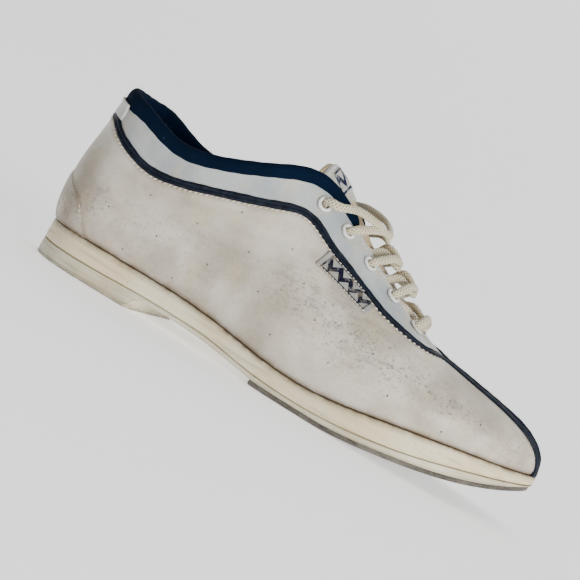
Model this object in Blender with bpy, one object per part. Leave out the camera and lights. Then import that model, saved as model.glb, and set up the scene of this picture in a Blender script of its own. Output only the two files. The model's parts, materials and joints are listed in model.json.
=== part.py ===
"""A worn leather bowling shoe for the right foot, with its laces in, standing empty on its sole.

The shoe is built the way it is made: a heel and pale sole layer, a slide sole under the forefoot, a cream
midsole, a lasted leather upper with a rolled collar binding, an insole, a tongue, eyelets and laces.
Axes: +X to the toe, +Y to the inner (medial) side, +Z up. Lengths below are in millimetres, and every mesh
is made in metres.
"""

import bpy
import bmesh
import numpy as np

MM = 0.001
GAP = 0.3  # clearance between neighbouring pieces

# Plan of the sole: stations from the heel to the toe as (x, outer y, inner y). The first and the last
# station are single points on the centre of the heel and of the toe.
SOLE_PLAN = [
    (-139.5, 5.0, 5.0),
    (-133.0, -15.0, 23.5),
    (-116.0, -26.8, 34.8),
    (-91.0, -29.5, 37.0),
    (-61.0, -31.5, 35.5),
    (-30.0, -36.5, 33.5),
    (2.0, -44.5, 37.5),
    (34.0, -50.0, 45.5),
    (63.0, -51.0, 51.0),
    (92.0, -44.5, 50.0),
    (117.0, -31.5, 42.0),
    (136.0, -13.5, 27.0),
    (145.0, 7.0, 7.0),
]
TOE_STATION = len(SOLE_PLAN) - 1

# Heights along the shoe, as (x, z) points of smooth curves.
FEATHER_LINE = [(-145, 19.2), (-105, 19.6), (-75, 19.5), (-51, 19.1), (-31, 17.5), (-13, 15.4), (14, 13.5),
                (40, 15.3), (64, 19.3), (87, 23.0), (110, 26.2), (133, 28.8), (145, 30.4)]
LAYER_LINE = [(-145, 8.4), (-100, 8.8), (-75, 9.6), (-50, 9.6), (-31, 8.8), (-13, 6.6), (14, 4.9), (40, 5.6),
              (64, 8.2), (87, 12.0), (110, 17.2), (133, 22.4), (145, 25.4)]
SHANK_LINE = [(-80, 8.0), (-53, 7.3), (-33, 6.4), (-19, 5.0), (-4, 3.2)]
TREAD_LINE = [(-4, 0.3), (6, 0.0), (38, 0.0), (53, 1.1), (74, 3.7), (96, 7.1), (118, 12.2), (133, 17.2),
              (145, 22.2)]
HEEL_BREAST = (-78.0, 0.2)  # x of its foot at the outer edge, and how far it moves on for each step inwards
BREAST_DEPTH = 8.5  # length of its hollow slope
OUTER_HEEL_Y = -29.5  # where the foot of the heel's front face meets the outer edge
HEEL_WIDTH = 64.0  # across the heel's front face
ARCH_END = 20.0  # x where the skew of the heel's front face has faded out of the rows of the sole
SLIDE_START = -4.0
SLIDE_THICKNESS = 2.5
SLIDE_INSET = 0.9
SOLE_EDGE = 0.7  # rounding of the edges of the sole layers

# The upper: one wall whose feather edge sits inside the rim of the sole.
WALL = 2.2
FEATHER_INSET = [(-145, 0.4), (-120, 1.0), (-80, 2.2), (100, 2.2), (145, 1.8)]
FOOT_LIFT = 1.8 * GAP  # height of its lower edge above the midsole
# One row per sole station: the place where the wall meets the opening (x, y, z), then the outward lean at
# the feather (degrees) and its reach, and the fall at the opening (degrees) and its reach.
OUTER_WALL = [
    (-137.2, 5.5, 92.5, 37, 14.5, 76, 23),
    (-131.0, -11.5, 90.6, 33, 16, 79, 22),
    (-116.0, -21.5, 88.0, 24, 19, 84, 20),
    (-94.0, -28.0, 83.0, 16, 21, 87, 20),
    (-68.5, -33.5, 88.5, 12, 24, 88, 22),
    (-45.0, -34.0, 98.5, 13, 28, 82, 26),
    (-22.0, -27.0, 105.6, 15, 32, 68, 30),
    (2.5, -16.5, 95.2, 17, 33, 50, 28),
    (25.0, -12.0, 82.2, 19, 29, 36, 28),
    (43.5, -9.6, 71.8, 18, 24, 25, 36),
    (55.5, -6.6, 64.2, 14, 21, 15, 46),
    (61.0, -1.2, 60.8, 8, 20, 9, 54),
    (62.5, 4.4, 59.9, 4, 19.6, 7, 58),
]
INNER_WALL = [
    OUTER_WALL[0],
    (-131.0, 22.5, 91.6, 33, 16, 80, 22),
    (-116.0, 32.5, 91.4, 24, 19, 84, 20),
    (-94.0, 37.0, 84.0, 16, 21, 86, 20),
    (-68.5, 37.0, 86.6, 12, 24, 84, 22),
    (-45.0, 32.0, 96.4, 11, 28, 76, 26),
    (-22.0, 25.0, 104.6, 10, 34, 60, 30),
    (2.5, 18.8, 95.0, 11, 35, 44, 30),
    (25.0, 16.4, 82.0, 15, 30, 34, 31),
    (43.5, 15.2, 71.6, 17, 25, 24, 38),
    (55.5, 13.0, 64.0, 14, 21, 15, 47),
    (61.0, 9.2, 60.8, 8, 20, 9, 55),
    OUTER_WALL[-1],
]

# The rolled binding on the collar, from one front end around the heel to the other.
ROLL_RADIUS = 3.1
ROLL_STATION = 7.0  # station of the wall where the roll ends on each side
ROLL_CLEARANCE = 0.9  # added to the gap below the roll, because the edge it follows is a hollow curve

# The insole and the tongue. The tongue's shape is given along x, from its foot under the vamp to its tip.
INSOLE_THICKNESS = 3.0
INSOLE_INSET = 7.0
TONGUE_THICKNESS = 3.6
TONGUE_LINE = [(74, 48.5), (66, 53.0), (58, 58.8), (38, 73.6), (18, 86.6), (2, 98.2), (-13, 110.2), (-27, 117.5)]
TONGUE_CENTRE = [(74, 4.5), (38, 3.0), (2, 0.5), (-27, -3.0)]
TONGUE_HALF_WIDTH = [(74, 14), (54, 17), (18, 20), (-2, 18), (-13, 16.5), (-27, 18.5)]
TONGUE_CROWN = [(74, 3), (54, 7), (18, 13), (-2, 14), (-13, 11.5), (-27, 6)]

# Eyelets in pairs from the toe end (row 1) to the collar end (row 5): x of each row, and how far below the
# edge of the outer and of the inner facing its rings sit, measured along the wall.
EYELET_ROWS = [(54.0, 11.0, 13.0), (36.0, 10.0, 11.5), (18.0, 9.5, 10.5), (0.5, 9.0, 10.0), (-16.0, 8.5, 9.0)]
EYELET_OUTER = 4.5
EYELET_HOLE = 2.3
EYELET_LIFT = 0.55
EYELET_HEIGHT = 1.0

# The lace: where its two legs cross between one row of eyelets and the next, and the lowest bar.
LACE_RADIUS = 2.2
LACE_CROSSINGS = [(52.5, 3.2, 70.0), (38.5, 2.8, 78.8), (25.5, 2.0, 87.2), (11.0, 0.0, 97.5)]
CROSSING_SPREAD = 1.4  # half the height between the centres of the two legs where they cross
LEG_RUN_ON = 6.0  # how far past the crossing a leg ends, beside the other facing
LACE_BAR_X = 58.6
LACE_BAR_Y = (0.2, 4.0, 7.8)
LACE_BAR_LIFT = 0.7  # between the bar and the tongue
# Heights of a leg's middle above the facing: over the eyelet, past its ring, and at the edge of the facing.
LEG_OUT = (0.1, 0.4, 4.6)
TOP_LEG_OUT = (0.1, 0.4, 6.2)
TOP_LEG_IN = (6.4, 0.6, 0.1)
LEG_REACH = (0.0, 6.0, 11.5)  # distances of those places from the eyelet towards the throat
TOP_REACH = (11.5, 5.0, 0.0)
LEG_INSIDE = 2.4  # clearance from the facing's edge where a leg ends
LEG_ABOVE_TONGUE = 1.6


def smooth_line(points, x):
    """Heights at x of a natural cubic spline through the points, level beyond its ends."""
    knots = np.array(sorted(points), float)
    at, value = knots[:, 0], knots[:, 1]
    step = np.diff(at)
    matrix = np.eye(len(at))
    right = np.zeros(len(at))
    for i in range(1, len(at) - 1):
        matrix[i, i - 1:i + 2] = step[i - 1], 2 * (step[i - 1] + step[i]), step[i]
        right[i] = 6 * ((value[i + 1] - value[i]) / step[i] - (value[i] - value[i - 1]) / step[i - 1])
    bend = np.linalg.solve(matrix, right)
    x = np.clip(np.asarray(x, float), at[0], at[-1])
    i = np.clip(np.searchsorted(at, x) - 1, 0, len(step) - 1)
    d = x - at[i]
    slope = (value[i + 1] - value[i]) / step[i] - step[i] * (2 * bend[i] + bend[i + 1]) / 6
    return value[i] + slope * d + bend[i] / 2 * d ** 2 + (bend[i + 1] - bend[i]) / (6 * step[i]) * d ** 3


def smooth_loop(rows, t):
    """Values at t on a closed cubic spline whose knots are the rows, one apart."""
    rows = np.asarray(rows, float)
    count = len(rows)
    matrix = 4 * np.eye(count) + np.roll(np.eye(count), 1, 0) + np.roll(np.eye(count), -1, 0)
    slope = np.linalg.solve(matrix, 3 * (np.roll(rows, -1, 0) - np.roll(rows, 1, 0)))
    t = np.asarray(t, float) % count
    i = np.floor(t).astype(int) % count
    j = (i + 1) % count
    f = (t - np.floor(t))[..., None]
    return ((2 * f ** 3 - 3 * f ** 2 + 1) * rows[i] + (f ** 3 - 2 * f ** 2 + f) * slope[i]
            + (3 * f ** 2 - 2 * f ** 3) * rows[j] + (f ** 3 - f ** 2) * slope[j])


def both_sides(outer, inner):
    """Rows around the shoe: heel, outer side, toe, and back along the inner side."""
    return list(outer) + list(inner[1:-1])[::-1]


RIM_ROWS = both_sides([(x, outer) for x, outer, _ in SOLE_PLAN], [(x, inner) for x, _, inner in SOLE_PLAN])
WALL_ROWS = both_sides(OUTER_WALL, INNER_WALL)
STATIONS = len(RIM_ROWS)


def rim(t):
    """Plan points of the sole's edge at stations t, and the outward directions there."""
    t = np.asarray(t, float)
    along = smooth_loop(RIM_ROWS, t + 0.01) - smooth_loop(RIM_ROWS, t - 0.01)
    along /= np.linalg.norm(along, axis=-1, keepdims=True)
    return smooth_loop(RIM_ROWS, t), np.stack([along[..., 1], -along[..., 0]], -1)


def wall_point(t, v):
    """Point of the upper's outer face at station t, from the feather (v = 0) up to the opening (v = 1)."""
    t, v = np.broadcast_arrays(np.asarray(t, float), np.asarray(v, float))
    edge, outward = rim(t)
    foot = edge - outward * smooth_line(FEATHER_INSET, edge[..., 0])[..., None]
    row = smooth_loop(WALL_ROWS, t)
    start = np.concatenate([foot, (smooth_line(FEATHER_LINE, foot[..., 0]) + FOOT_LIFT)[..., None]], -1)
    end = row[..., :3]
    lean, reach, fall, drop = np.radians(row[..., 3]), row[..., 4], np.radians(row[..., 5]), row[..., 6]
    away = start[..., :2] - end[..., :2] + outward * 12.0
    away /= np.linalg.norm(away, axis=-1, keepdims=True)
    up = np.array([0.0, 0.0, 1.0])
    flat = np.zeros(outward.shape[:-1] + (1,))
    first = start + reach[..., None] * (np.concatenate([outward, flat], -1) * np.sin(lean)[..., None]
                                        + up * np.cos(lean)[..., None])
    second = end + drop[..., None] * (np.concatenate([away, flat], -1) * np.cos(fall)[..., None]
                                      - up * np.sin(fall)[..., None])
    v = v[..., None]
    return ((1 - v) ** 3 * start + 3 * v * (1 - v) ** 2 * first + 3 * v ** 2 * (1 - v) * second + v ** 3 * end)


def wall_frame(t, v):
    """Point, outward normal and upward direction of the upper's outer face."""
    point = wall_point(t, v)
    around = wall_point(t + 0.02, v) - wall_point(t - 0.02, v)
    upward = wall_point(t, v + 0.01) - wall_point(t, v - 0.01)
    normal = np.cross(around, upward)
    normal /= np.linalg.norm(normal, axis=-1, keepdims=True)
    upward /= np.linalg.norm(upward, axis=-1, keepdims=True)
    return point, normal, upward


def material(name, colour, roughness, metallic=0.0):
    made = bpy.data.materials.new(name)
    made.use_nodes = True
    shader = made.node_tree.nodes["Principled BSDF"]
    shader.inputs["Base Color"].default_value = (*colour, 1.0)
    shader.inputs["Roughness"].default_value = roughness
    shader.inputs["Metallic"].default_value = metallic
    return made


def mesh_object(name, points, faces, colour, roughness, metallic=0.0, closed=True):
    """A named mesh from points in millimetres, shaded smooth, with its own material."""
    mesh = bpy.data.meshes.new(name)
    mesh.from_pydata([tuple(p) for p in np.asarray(points, float) * MM], [], [tuple(f) for f in faces])
    work = bmesh.new()
    work.from_mesh(mesh)
    bmesh.ops.recalc_face_normals(work, faces=work.faces)
    if closed and work.calc_volume(signed=True) < 0:
        bmesh.ops.reverse_faces(work, faces=work.faces)
    work.to_mesh(mesh)
    work.free()
    mesh.shade_smooth()
    made = bpy.data.objects.new(name, mesh)
    bpy.context.scene.collection.objects.link(made)
    mesh.materials.append(material(name, colour, roughness, metallic))
    return made


def at_x(values, side):
    """Stations where the sole's edge is at each x, on the outer (side = 0) or the inner side (side = 1)."""
    dense = np.linspace(0, TOE_STATION, 2401)
    x = rim(STATIONS - dense if side else dense)[0][:, 0]
    return np.interp(values, x, dense)


def cross_rows(x_values, skew=0.0):
    """Stations on both sides of the rows that cross the sole, skewed forward on the inner side under the arch."""
    x = np.asarray(x_values, float)
    foot, heel = HEEL_BREAST[0], SOLE_PLAN[0][0]
    fade = np.clip(np.minimum((x - heel) / (foot - heel), (ARCH_END - x) / (ARCH_END - foot)), 0, 1)
    return at_x(x, 0), STATIONS - at_x(x + skew * fade, 1)


def slab(name, rows, top, bottom, inset, colour):
    """A sole layer between two height functions of x and y, inside the rim by the inset, edges softened.

    The rows cross the sole from the heel to the toe. A first row at station 0 closes to a point, as the
    last one does at the toe, and any other first row is a straight rear edge.
    """
    outer, inner = rows
    pointed = outer[0] == 0.0
    back = inner[-2:0:-1] if pointed else inner[-2::-1]
    loop = np.concatenate([outer, back])
    count, last = len(loop), len(outer) - 1
    steps = [(SOLE_EDGE, 0.0), (0.2 * SOLE_EDGE, 0.35 * SOLE_EDGE), (0.0, SOLE_EDGE)]
    rings = [(top, -1, shrink, depth) for shrink, depth in steps]
    rings += [(bottom, 1, shrink, depth) for shrink, depth in steps[::-1]]
    vertices = []
    for surface, sign, shrink, depth in rings:
        plan = rim(loop)[0] - rim(loop)[1] * (inset + shrink)
        if not pointed:
            plan[[0, -1], 0] = rim(loop[[0, -1]])[0][:, 0] + shrink
        vertices += [(x, y, float(surface(x, y)) + sign * depth) for x, y in plan]
    faces = []
    for layer in range(len(rings) - 1):
        a, b = layer * count, (layer + 1) * count
        for i in range(count if pointed else count - 1):
            j = (i + 1) % count
            faces.append((a + i, a + j, b + j, b + i))
    rear = []
    for layer, surface in ((0, top), (len(rings) - 1, bottom)):
        ring = layer * count
        chains = []
        for i in range(1 if pointed else 0, last):
            left, right = ring + i, ring + (count - i if pointed else count - 1 - i)
            x, y = (np.array(vertices[left]) + np.array(vertices[right]))[:2] / 2
            vertices.append((x, y, float(surface(x, y))))
            chains.append((left, len(vertices) - 1, right))
        if pointed:
            faces += [(ring, chains[0][1], chains[0][0]), (ring, chains[0][2], chains[0][1])]
        for one, two in zip(chains, chains[1:]):
            faces += [(one[0], one[1], two[1], two[0]), (one[1], one[2], two[2], two[1])]
        faces += [(chains[-1][0], chains[-1][1], ring + last), (chains[-1][1], chains[-1][2], ring + last)]
        rear.append(chains[0])
    if not pointed:
        left = [layer * count for layer in range(1, len(rings) - 1)]
        right = [layer * count + count - 1 for layer in range(1, len(rings) - 1)]
        faces.append(tuple(rear[0]) + tuple(right) + tuple(rear[1][::-1]) + tuple(left[::-1]))
    return mesh_object(name, vertices, faces, colour, 0.6)


def feather_height(x, y):
    return smooth_line(FEATHER_LINE, x)


def layer_height(x, y):
    return smooth_line(LAYER_LINE, x)


def tread_height(x, y):
    return np.maximum(smooth_line(TREAD_LINE, x), 0.0)


def outsole_bottom(x, y):
    """Underside of the pale layer: the flat heel, its hollow front face, the shank, then above the slide sole."""
    foot, skew = HEEL_BREAST
    along = np.clip((x - foot - skew * (y - OUTER_HEEL_Y)) / BREAST_DEPTH, 0, 1)
    shank = np.sqrt(along * (2 - along)) * smooth_line(SHANK_LINE, x)
    return np.where(x < SLIDE_START - 0.5, shank, tread_height(x, y) + SLIDE_THICKNESS + 1.3 * GAP)


def make_sole():
    """The heel block with the pale layer, the dark slide sole, the cream midsole and the insole."""
    foot, skew = HEEL_BREAST
    heel, toe = SOLE_PLAN[0][0], SOLE_PLAN[-1][0]
    even = heel + (toe - heel) * (1 - np.cos(np.linspace(0, np.pi, 27))) / 2
    edges = foot + BREAST_DEPTH * np.array([0.0, 0.12, 0.45, 1.0])
    kept = [x for x in even if np.abs(edges - x).min() > 2.5 and not foot < x < edges[-1]]
    broken = np.sort(np.concatenate([kept, edges]))
    slab("outsole", cross_rows(broken, skew * HEEL_WIDTH), layer_height, outsole_bottom, 0.0, (0.56, 0.56, 0.52))
    slab("midsole", cross_rows(even), feather_height, lambda x, y: layer_height(x, y) + 1.4 * GAP, 0.0,
         (0.68, 0.62, 0.47))
    front = np.concatenate([[SLIDE_START], even[even > SLIDE_START + 4]])
    slab("slide_sole", cross_rows(front), lambda x, y: tread_height(x, y) + SLIDE_THICKNESS, tread_height,
         SLIDE_INSET, (0.08, 0.07, 0.06))
    slab("insole", cross_rows(even), lambda x, y: feather_height(x, y) + GAP + INSOLE_THICKNESS,
         lambda x, y: feather_height(x, y) + GAP, INSOLE_INSET, (0.22, 0.19, 0.15))


def make_upper():
    """The lasted wall: rows from the feather to the opening, given its thickness by Solidify."""
    around, rows = 96, 12
    t = np.arange(around) * STATIONS / around
    v = np.linspace(0, 1, rows + 1) ** 0.92
    points = wall_point(t[None, :], v[:, None]).reshape(-1, 3)
    faces = [(r * around + i, r * around + (i + 1) % around, (r + 1) * around + (i + 1) % around,
              (r + 1) * around + i) for r in range(rows) for i in range(around)]
    made = mesh_object("upper", points, faces, (0.58, 0.55, 0.50), 0.5, closed=False)
    thick = made.modifiers.new("wall", "SOLIDIFY")
    thick.thickness = WALL * MM
    thick.offset = -1.0
    thick.use_even_offset = True
    return made


def through(points, count):
    """Evenly spaced points on a smooth curve through the given points."""
    knots = np.asarray(points, float)
    run = np.concatenate([[0], np.cumsum(np.linalg.norm(np.diff(knots, axis=0), axis=1))])
    dense = np.linspace(0, run[-1], 200)
    curve = np.stack([smooth_line(list(zip(run, knots[:, k])), dense) for k in range(3)], -1)
    length = np.concatenate([[0], np.cumsum(np.linalg.norm(np.diff(curve, axis=0), axis=1))])
    even = np.linspace(0, length[-1], count)
    return np.stack([np.interp(even, length, curve[:, k]) for k in range(3)], -1)


def tube(name, path, radius, sides, colour):
    """A round cord or roll: rings carried along the path, and a flat face on each end."""
    path = np.asarray(path, float)
    along = np.gradient(path, axis=0)
    along /= np.linalg.norm(along, axis=1, keepdims=True)
    side = np.cross(along, np.array([0.0, 0.0, 1.0]))
    side /= np.linalg.norm(side, axis=1, keepdims=True)
    angle = np.arange(sides) * 2 * np.pi / sides
    rings = (path[:, None] + radius * (np.cos(angle)[None, :, None] * side[:, None]
                                       + np.sin(angle)[None, :, None] * np.cross(side, along)[:, None]))
    faces = [(r * sides + i, r * sides + (i + 1) % sides, (r + 1) * sides + (i + 1) % sides, (r + 1) * sides + i)
             for r in range(len(path) - 1) for i in range(sides)]
    faces += [tuple(range(sides)), tuple(range((len(path) - 1) * sides, len(path) * sides))]
    return mesh_object(name, rings.reshape(-1, 3), faces, colour, 0.9)


def make_roll():
    """The rolled binding, resting just above the edge of the collar."""
    t = np.linspace(-ROLL_STATION, ROLL_STATION, 57)
    point, normal, upward = wall_frame(t, np.full(t.shape, 0.985))
    edge = wall_point(t, np.ones(t.shape))
    centre = edge - normal * WALL / 2 + upward * (ROLL_RADIUS + GAP + ROLL_CLEARANCE)
    return tube("collar_roll", centre, ROLL_RADIUS, 8, (0.01, 0.02, 0.05))


def tongue_surface(s, across):
    """Outer face of the tongue: s runs from its foot to its tip, across from -1 (outer) to 1 (inner)."""
    line = np.array(TONGUE_LINE, float)
    x = np.interp(s, np.linspace(0, 1, len(line)), line[:, 0])
    height = smooth_line(TONGUE_LINE, x)
    half = smooth_line(TONGUE_HALF_WIDTH, x)
    crown = smooth_line(TONGUE_CROWN, x)
    return np.stack([x, smooth_line(TONGUE_CENTRE, x) + across * half, height - crown * across ** 2], -1)


def tongue_height(x, y):
    """Height of the tongue's outer face over a place in plan."""
    across = (y - smooth_line(TONGUE_CENTRE, x)) / smooth_line(TONGUE_HALF_WIDTH, x)
    return float(smooth_line(TONGUE_LINE, x) - smooth_line(TONGUE_CROWN, x) * across ** 2)


def make_tongue():
    """The padded tongue, under the facings and out above them at its tip."""
    rows, columns = 15, 9
    s, across = np.meshgrid(np.linspace(0, 1, rows), np.linspace(-1, 1, columns), indexing="ij")
    points = tongue_surface(s, across).reshape(-1, 3)
    faces = [(r * columns + c, r * columns + c + 1, (r + 1) * columns + c + 1, (r + 1) * columns + c)
             for r in range(rows - 1) for c in range(columns - 1)]
    made = mesh_object("tongue", points, faces, (0.66, 0.56, 0.39), 0.8, closed=False)
    thick = made.modifiers.new("padding", "SOLIDIFY")
    thick.thickness = TONGUE_THICKNESS * MM
    thick.offset = -1.0
    return made


def below_edge(t, distance):
    """The v on the wall at station t that lies this far below the opening, measured along the wall."""
    v = np.linspace(1, 0.4, 241)
    run = wall_point(np.full(v.shape, t), v)
    length = np.concatenate([[0], np.cumsum(np.linalg.norm(np.diff(run, axis=0), axis=1))])
    return float(np.interp(distance, length, v))


def eyelet_seats():
    """Name, station and v of each eyelet on both sides, from the toe end."""
    seats = []
    for side, sign in (("lateral", 1), ("medial", -1)):
        for row, (x, *drops) in enumerate(EYELET_ROWS, 1):
            drop = drops[0] if sign > 0 else drops[1]
            t = sign * np.linspace(5.0, 11.0, 121)
            v = np.array([below_edge(one, drop) for one in t])
            place = float(np.interp(x, wall_point(t, v)[:, 0], t))
            seats.append((f"eyelet_{side}_{row}", place, below_edge(place, drop)))
    return seats


def make_eyelets():
    """Enamelled rings, spun from one profile and set just above the facing."""
    profile = [(EYELET_HOLE, 0.0), (EYELET_OUTER, 0.0), (EYELET_OUTER - 0.5, 0.9 * EYELET_HEIGHT),
               (EYELET_HOLE + 0.5, EYELET_HEIGHT)]
    for name, t, v in eyelet_seats():
        point, normal, upward = wall_frame(np.array(t), np.array(v))
        steps = 12
        angle = np.arange(steps) * 2 * np.pi / steps
        side = np.cross(upward, normal)
        points = [point + normal * (rise + EYELET_LIFT) + r * (np.cos(a) * upward + np.sin(a) * side)
                  for r, rise in profile for a in angle]
        faces = [(p * steps + i, p * steps + (i + 1) % steps, (p + 1) % 4 * steps + (i + 1) % steps,
                  (p + 1) % 4 * steps + i) for p in range(4) for i in range(steps)]
        mesh_object(name, points, faces, (0.75, 0.74, 0.70), 0.35)


def over_facing(t, v, distance, lift):
    """A place this far along the wall towards the throat from an eyelet's seat, lifted off the wall."""
    run = np.linspace(v, 1.0, 60)
    points = wall_point(np.full(run.shape, t), run)
    length = np.concatenate([[0], np.cumsum(np.linalg.norm(np.diff(points, axis=0), axis=1))])
    there = float(np.interp(distance, length, run))
    point, normal, upward = wall_frame(np.array(t), np.array(there))
    return point + normal * lift + upward * max(0.0, distance - length[-1])


def lace_leg(start, crossing, finish, raised, top_row):
    """Route of one leg: out over its facing, across the throat, and down to the other facing.

    It ends inside the throat beside the other facing, or on the top row above the other eyelet.
    """
    resting = EYELET_LIFT + EYELET_HEIGHT + GAP + LACE_RADIUS
    first, past, edge_lift = TOP_LEG_OUT if top_row else LEG_OUT
    lifts = (resting + first, resting + past, edge_lift)
    route = [over_facing(*start, reach, lift) for reach, lift in zip(LEG_REACH, lifts)]
    route.append(np.array(crossing) + np.array([0.0, 0.0, CROSSING_SPREAD if raised else -CROSSING_SPREAD]))
    if top_row:
        lifts = (TOP_LEG_IN[0], resting + TOP_LEG_IN[1], resting + TOP_LEG_IN[2])
        route += [over_facing(*finish, reach, lift) for reach, lift in zip(TOP_REACH, lifts)]
    else:
        x = crossing[0] - LEG_RUN_ON
        sign = np.sign(finish[0])
        edge = wall_point(sign * np.linspace(7, 11, 81), np.ones(81))
        y = float(np.interp(x, edge[:, 0], edge[:, 1])) + sign * (LACE_RADIUS + LEG_INSIDE)
        route.append(np.array([x, y, tongue_height(x, y) + LACE_RADIUS + LEG_ABOVE_TONGUE]))
    return through(route, 10)


def make_laces():
    """Four crossings, each of two legs joined where they touch, and the bar below them."""
    seats = {name: (t, v) for name, t, v in eyelet_seats()}
    colour = (0.60, 0.53, 0.38)
    for row, crossing in enumerate(LACE_CROSSINGS, 1):
        top_row = row == len(LACE_CROSSINGS)
        here = [seats[f"eyelet_{side}_{row}"] for side in ("lateral", "medial")]
        after = [seats[f"eyelet_{side}_{row + 1}"] for side in ("medial", "lateral")]
        lateral = lace_leg(here[0], crossing, after[0], True, top_row)
        medial = lace_leg(here[1], crossing, after[1], False, top_row)
        made = tube(f"lace_cross_{row}", lateral, LACE_RADIUS, 6, colour)
        other = tube(f"lace_cross_{row}_other_leg", medial, LACE_RADIUS, 6, colour)
        other.hide_render = True
        other.display_type = "WIRE"
        join = made.modifiers.new("join", "BOOLEAN")
        join.operation = "UNION"
        join.solver = "EXACT"
        join.object = other
    bar = [(LACE_BAR_X, y, tongue_height(LACE_BAR_X, y) + LACE_RADIUS + LACE_BAR_LIFT) for y in LACE_BAR_Y]
    tube("lace_bar", through(bar, 4), LACE_RADIUS, 6, colour)


for old in list(bpy.data.objects):
    bpy.data.objects.remove(old, do_unlink=True)

make_sole()
make_upper()
make_roll()
make_tongue()
make_eyelets()
make_laces()
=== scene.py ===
# %% [markdown]
# # A worn bowling shoe
# A low lace-up bowling shoe for the right foot, in ivory leather with navy piping. It stands empty on its
# sole with the laces in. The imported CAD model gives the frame: +X runs to the toe, +Y to the inner side and
# +Z up. It holds the sizes, and each detailed piece here is worked out over the same shape functions.
# Lengths are in millimetres until a mesh is made.

# %% Open the frame
import json
import bpy
import bmesh
import numpy as np
from mathutils import Matrix, Vector

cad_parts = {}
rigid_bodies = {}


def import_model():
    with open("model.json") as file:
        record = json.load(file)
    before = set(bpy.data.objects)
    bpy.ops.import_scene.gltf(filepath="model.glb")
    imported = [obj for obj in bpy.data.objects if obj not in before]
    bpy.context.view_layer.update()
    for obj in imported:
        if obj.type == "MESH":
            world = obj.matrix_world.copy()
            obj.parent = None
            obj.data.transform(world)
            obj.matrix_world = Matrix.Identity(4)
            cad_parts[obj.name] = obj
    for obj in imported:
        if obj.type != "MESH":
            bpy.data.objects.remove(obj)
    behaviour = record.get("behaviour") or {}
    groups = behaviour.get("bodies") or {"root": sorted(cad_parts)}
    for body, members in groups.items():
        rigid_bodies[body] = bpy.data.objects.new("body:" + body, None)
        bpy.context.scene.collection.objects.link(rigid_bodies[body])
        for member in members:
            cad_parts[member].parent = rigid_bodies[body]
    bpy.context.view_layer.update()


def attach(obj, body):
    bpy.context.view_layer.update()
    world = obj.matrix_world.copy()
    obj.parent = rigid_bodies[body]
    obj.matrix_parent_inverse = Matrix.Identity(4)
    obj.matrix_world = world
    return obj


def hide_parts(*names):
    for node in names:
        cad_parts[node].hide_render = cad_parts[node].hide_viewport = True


for old in list(bpy.data.objects):
    bpy.data.objects.remove(old, do_unlink=True)
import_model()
MM = 0.001

# %% [markdown]
# ## The last
# A shoemaker's last sets every line of a shoe. It could be sculpted, but a last is described well by a few
# numbers at thirteen stations a side: where the sole edge runs, where the opening runs, and how the wall
# leaves the one and reaches the other. Smooth splines through those numbers give every other place, so the
# same function can carry leather, piping, stitches and eyelets.

# %% Stations of the last
SOLE_PLAN = [
    (-139.5, 5.0, 5.0), (-133.0, -15.0, 23.5), (-116.0, -26.8, 34.8), (-91.0, -29.5, 37.0),
    (-61.0, -31.5, 35.5), (-30.0, -36.5, 33.5), (2.0, -44.5, 37.5), (34.0, -50.0, 45.5),
    (63.0, -51.0, 51.0), (92.0, -44.5, 50.0), (117.0, -31.5, 42.0), (136.0, -13.5, 27.0), (145.0, 7.0, 7.0),
]  # x, outer y and inner y of the sole's edge
TOE_STATION = len(SOLE_PLAN) - 1
FEATHER_LINE = [(-145, 19.2), (-105, 19.6), (-75, 19.5), (-51, 19.1), (-31, 17.5), (-13, 15.4), (14, 13.5),
                (40, 15.3), (64, 19.3), (87, 23.0), (110, 26.2), (133, 28.8), (145, 30.4)]
FEATHER_INSET = [(-145, 0.4), (-120, 1.0), (-80, 2.2), (100, 2.2), (145, 1.8)]
# Opening (x, y, z), then the lean and reach at the feather and the fall and reach at the opening.
OUTER_WALL = [
    (-137.2, 5.5, 92.5, 37, 14.5, 76, 23), (-131.0, -11.5, 90.6, 33, 16, 79, 22),
    (-116.0, -21.5, 88.0, 24, 19, 84, 20), (-94.0, -28.0, 83.0, 16, 21, 87, 20),
    (-68.5, -33.5, 88.5, 12, 24, 88, 22), (-45.0, -34.0, 98.5, 13, 28, 82, 26),
    (-22.0, -27.0, 105.6, 15, 32, 68, 30), (2.5, -16.5, 95.2, 17, 33, 50, 28),
    (25.0, -12.0, 82.2, 19, 29, 36, 28), (43.5, -9.6, 71.8, 18, 24, 25, 36),
    (55.5, -6.6, 64.2, 14, 21, 15, 46), (61.0, -1.2, 60.8, 8, 20, 9, 54), (62.5, 4.4, 59.9, 4, 19.6, 7, 58),
]
INNER_WALL = [
    OUTER_WALL[0], (-131.0, 22.5, 91.6, 33, 16, 80, 22),
    (-116.0, 32.5, 91.4, 24, 19, 84, 20), (-94.0, 37.0, 84.0, 16, 21, 86, 20),
    (-68.5, 37.0, 86.6, 12, 24, 84, 22), (-45.0, 32.0, 96.4, 11, 28, 76, 26),
    (-22.0, 25.0, 104.6, 10, 34, 60, 30), (2.5, 18.8, 95.0, 11, 35, 44, 30),
    (25.0, 16.4, 82.0, 15, 30, 34, 31), (43.5, 15.2, 71.6, 17, 25, 24, 38),
    (55.5, 13.0, 64.0, 14, 21, 15, 47), (61.0, 9.2, 60.8, 8, 20, 9, 55), OUTER_WALL[-1],
]
FOOT_LIFT = 0.54  # how far above the feather line the leather starts
OPENING_FLARE = 12.0  # added outwards to the way in plan from the opening to its foot
WALL = 2.2  # leather and lining together


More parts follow.
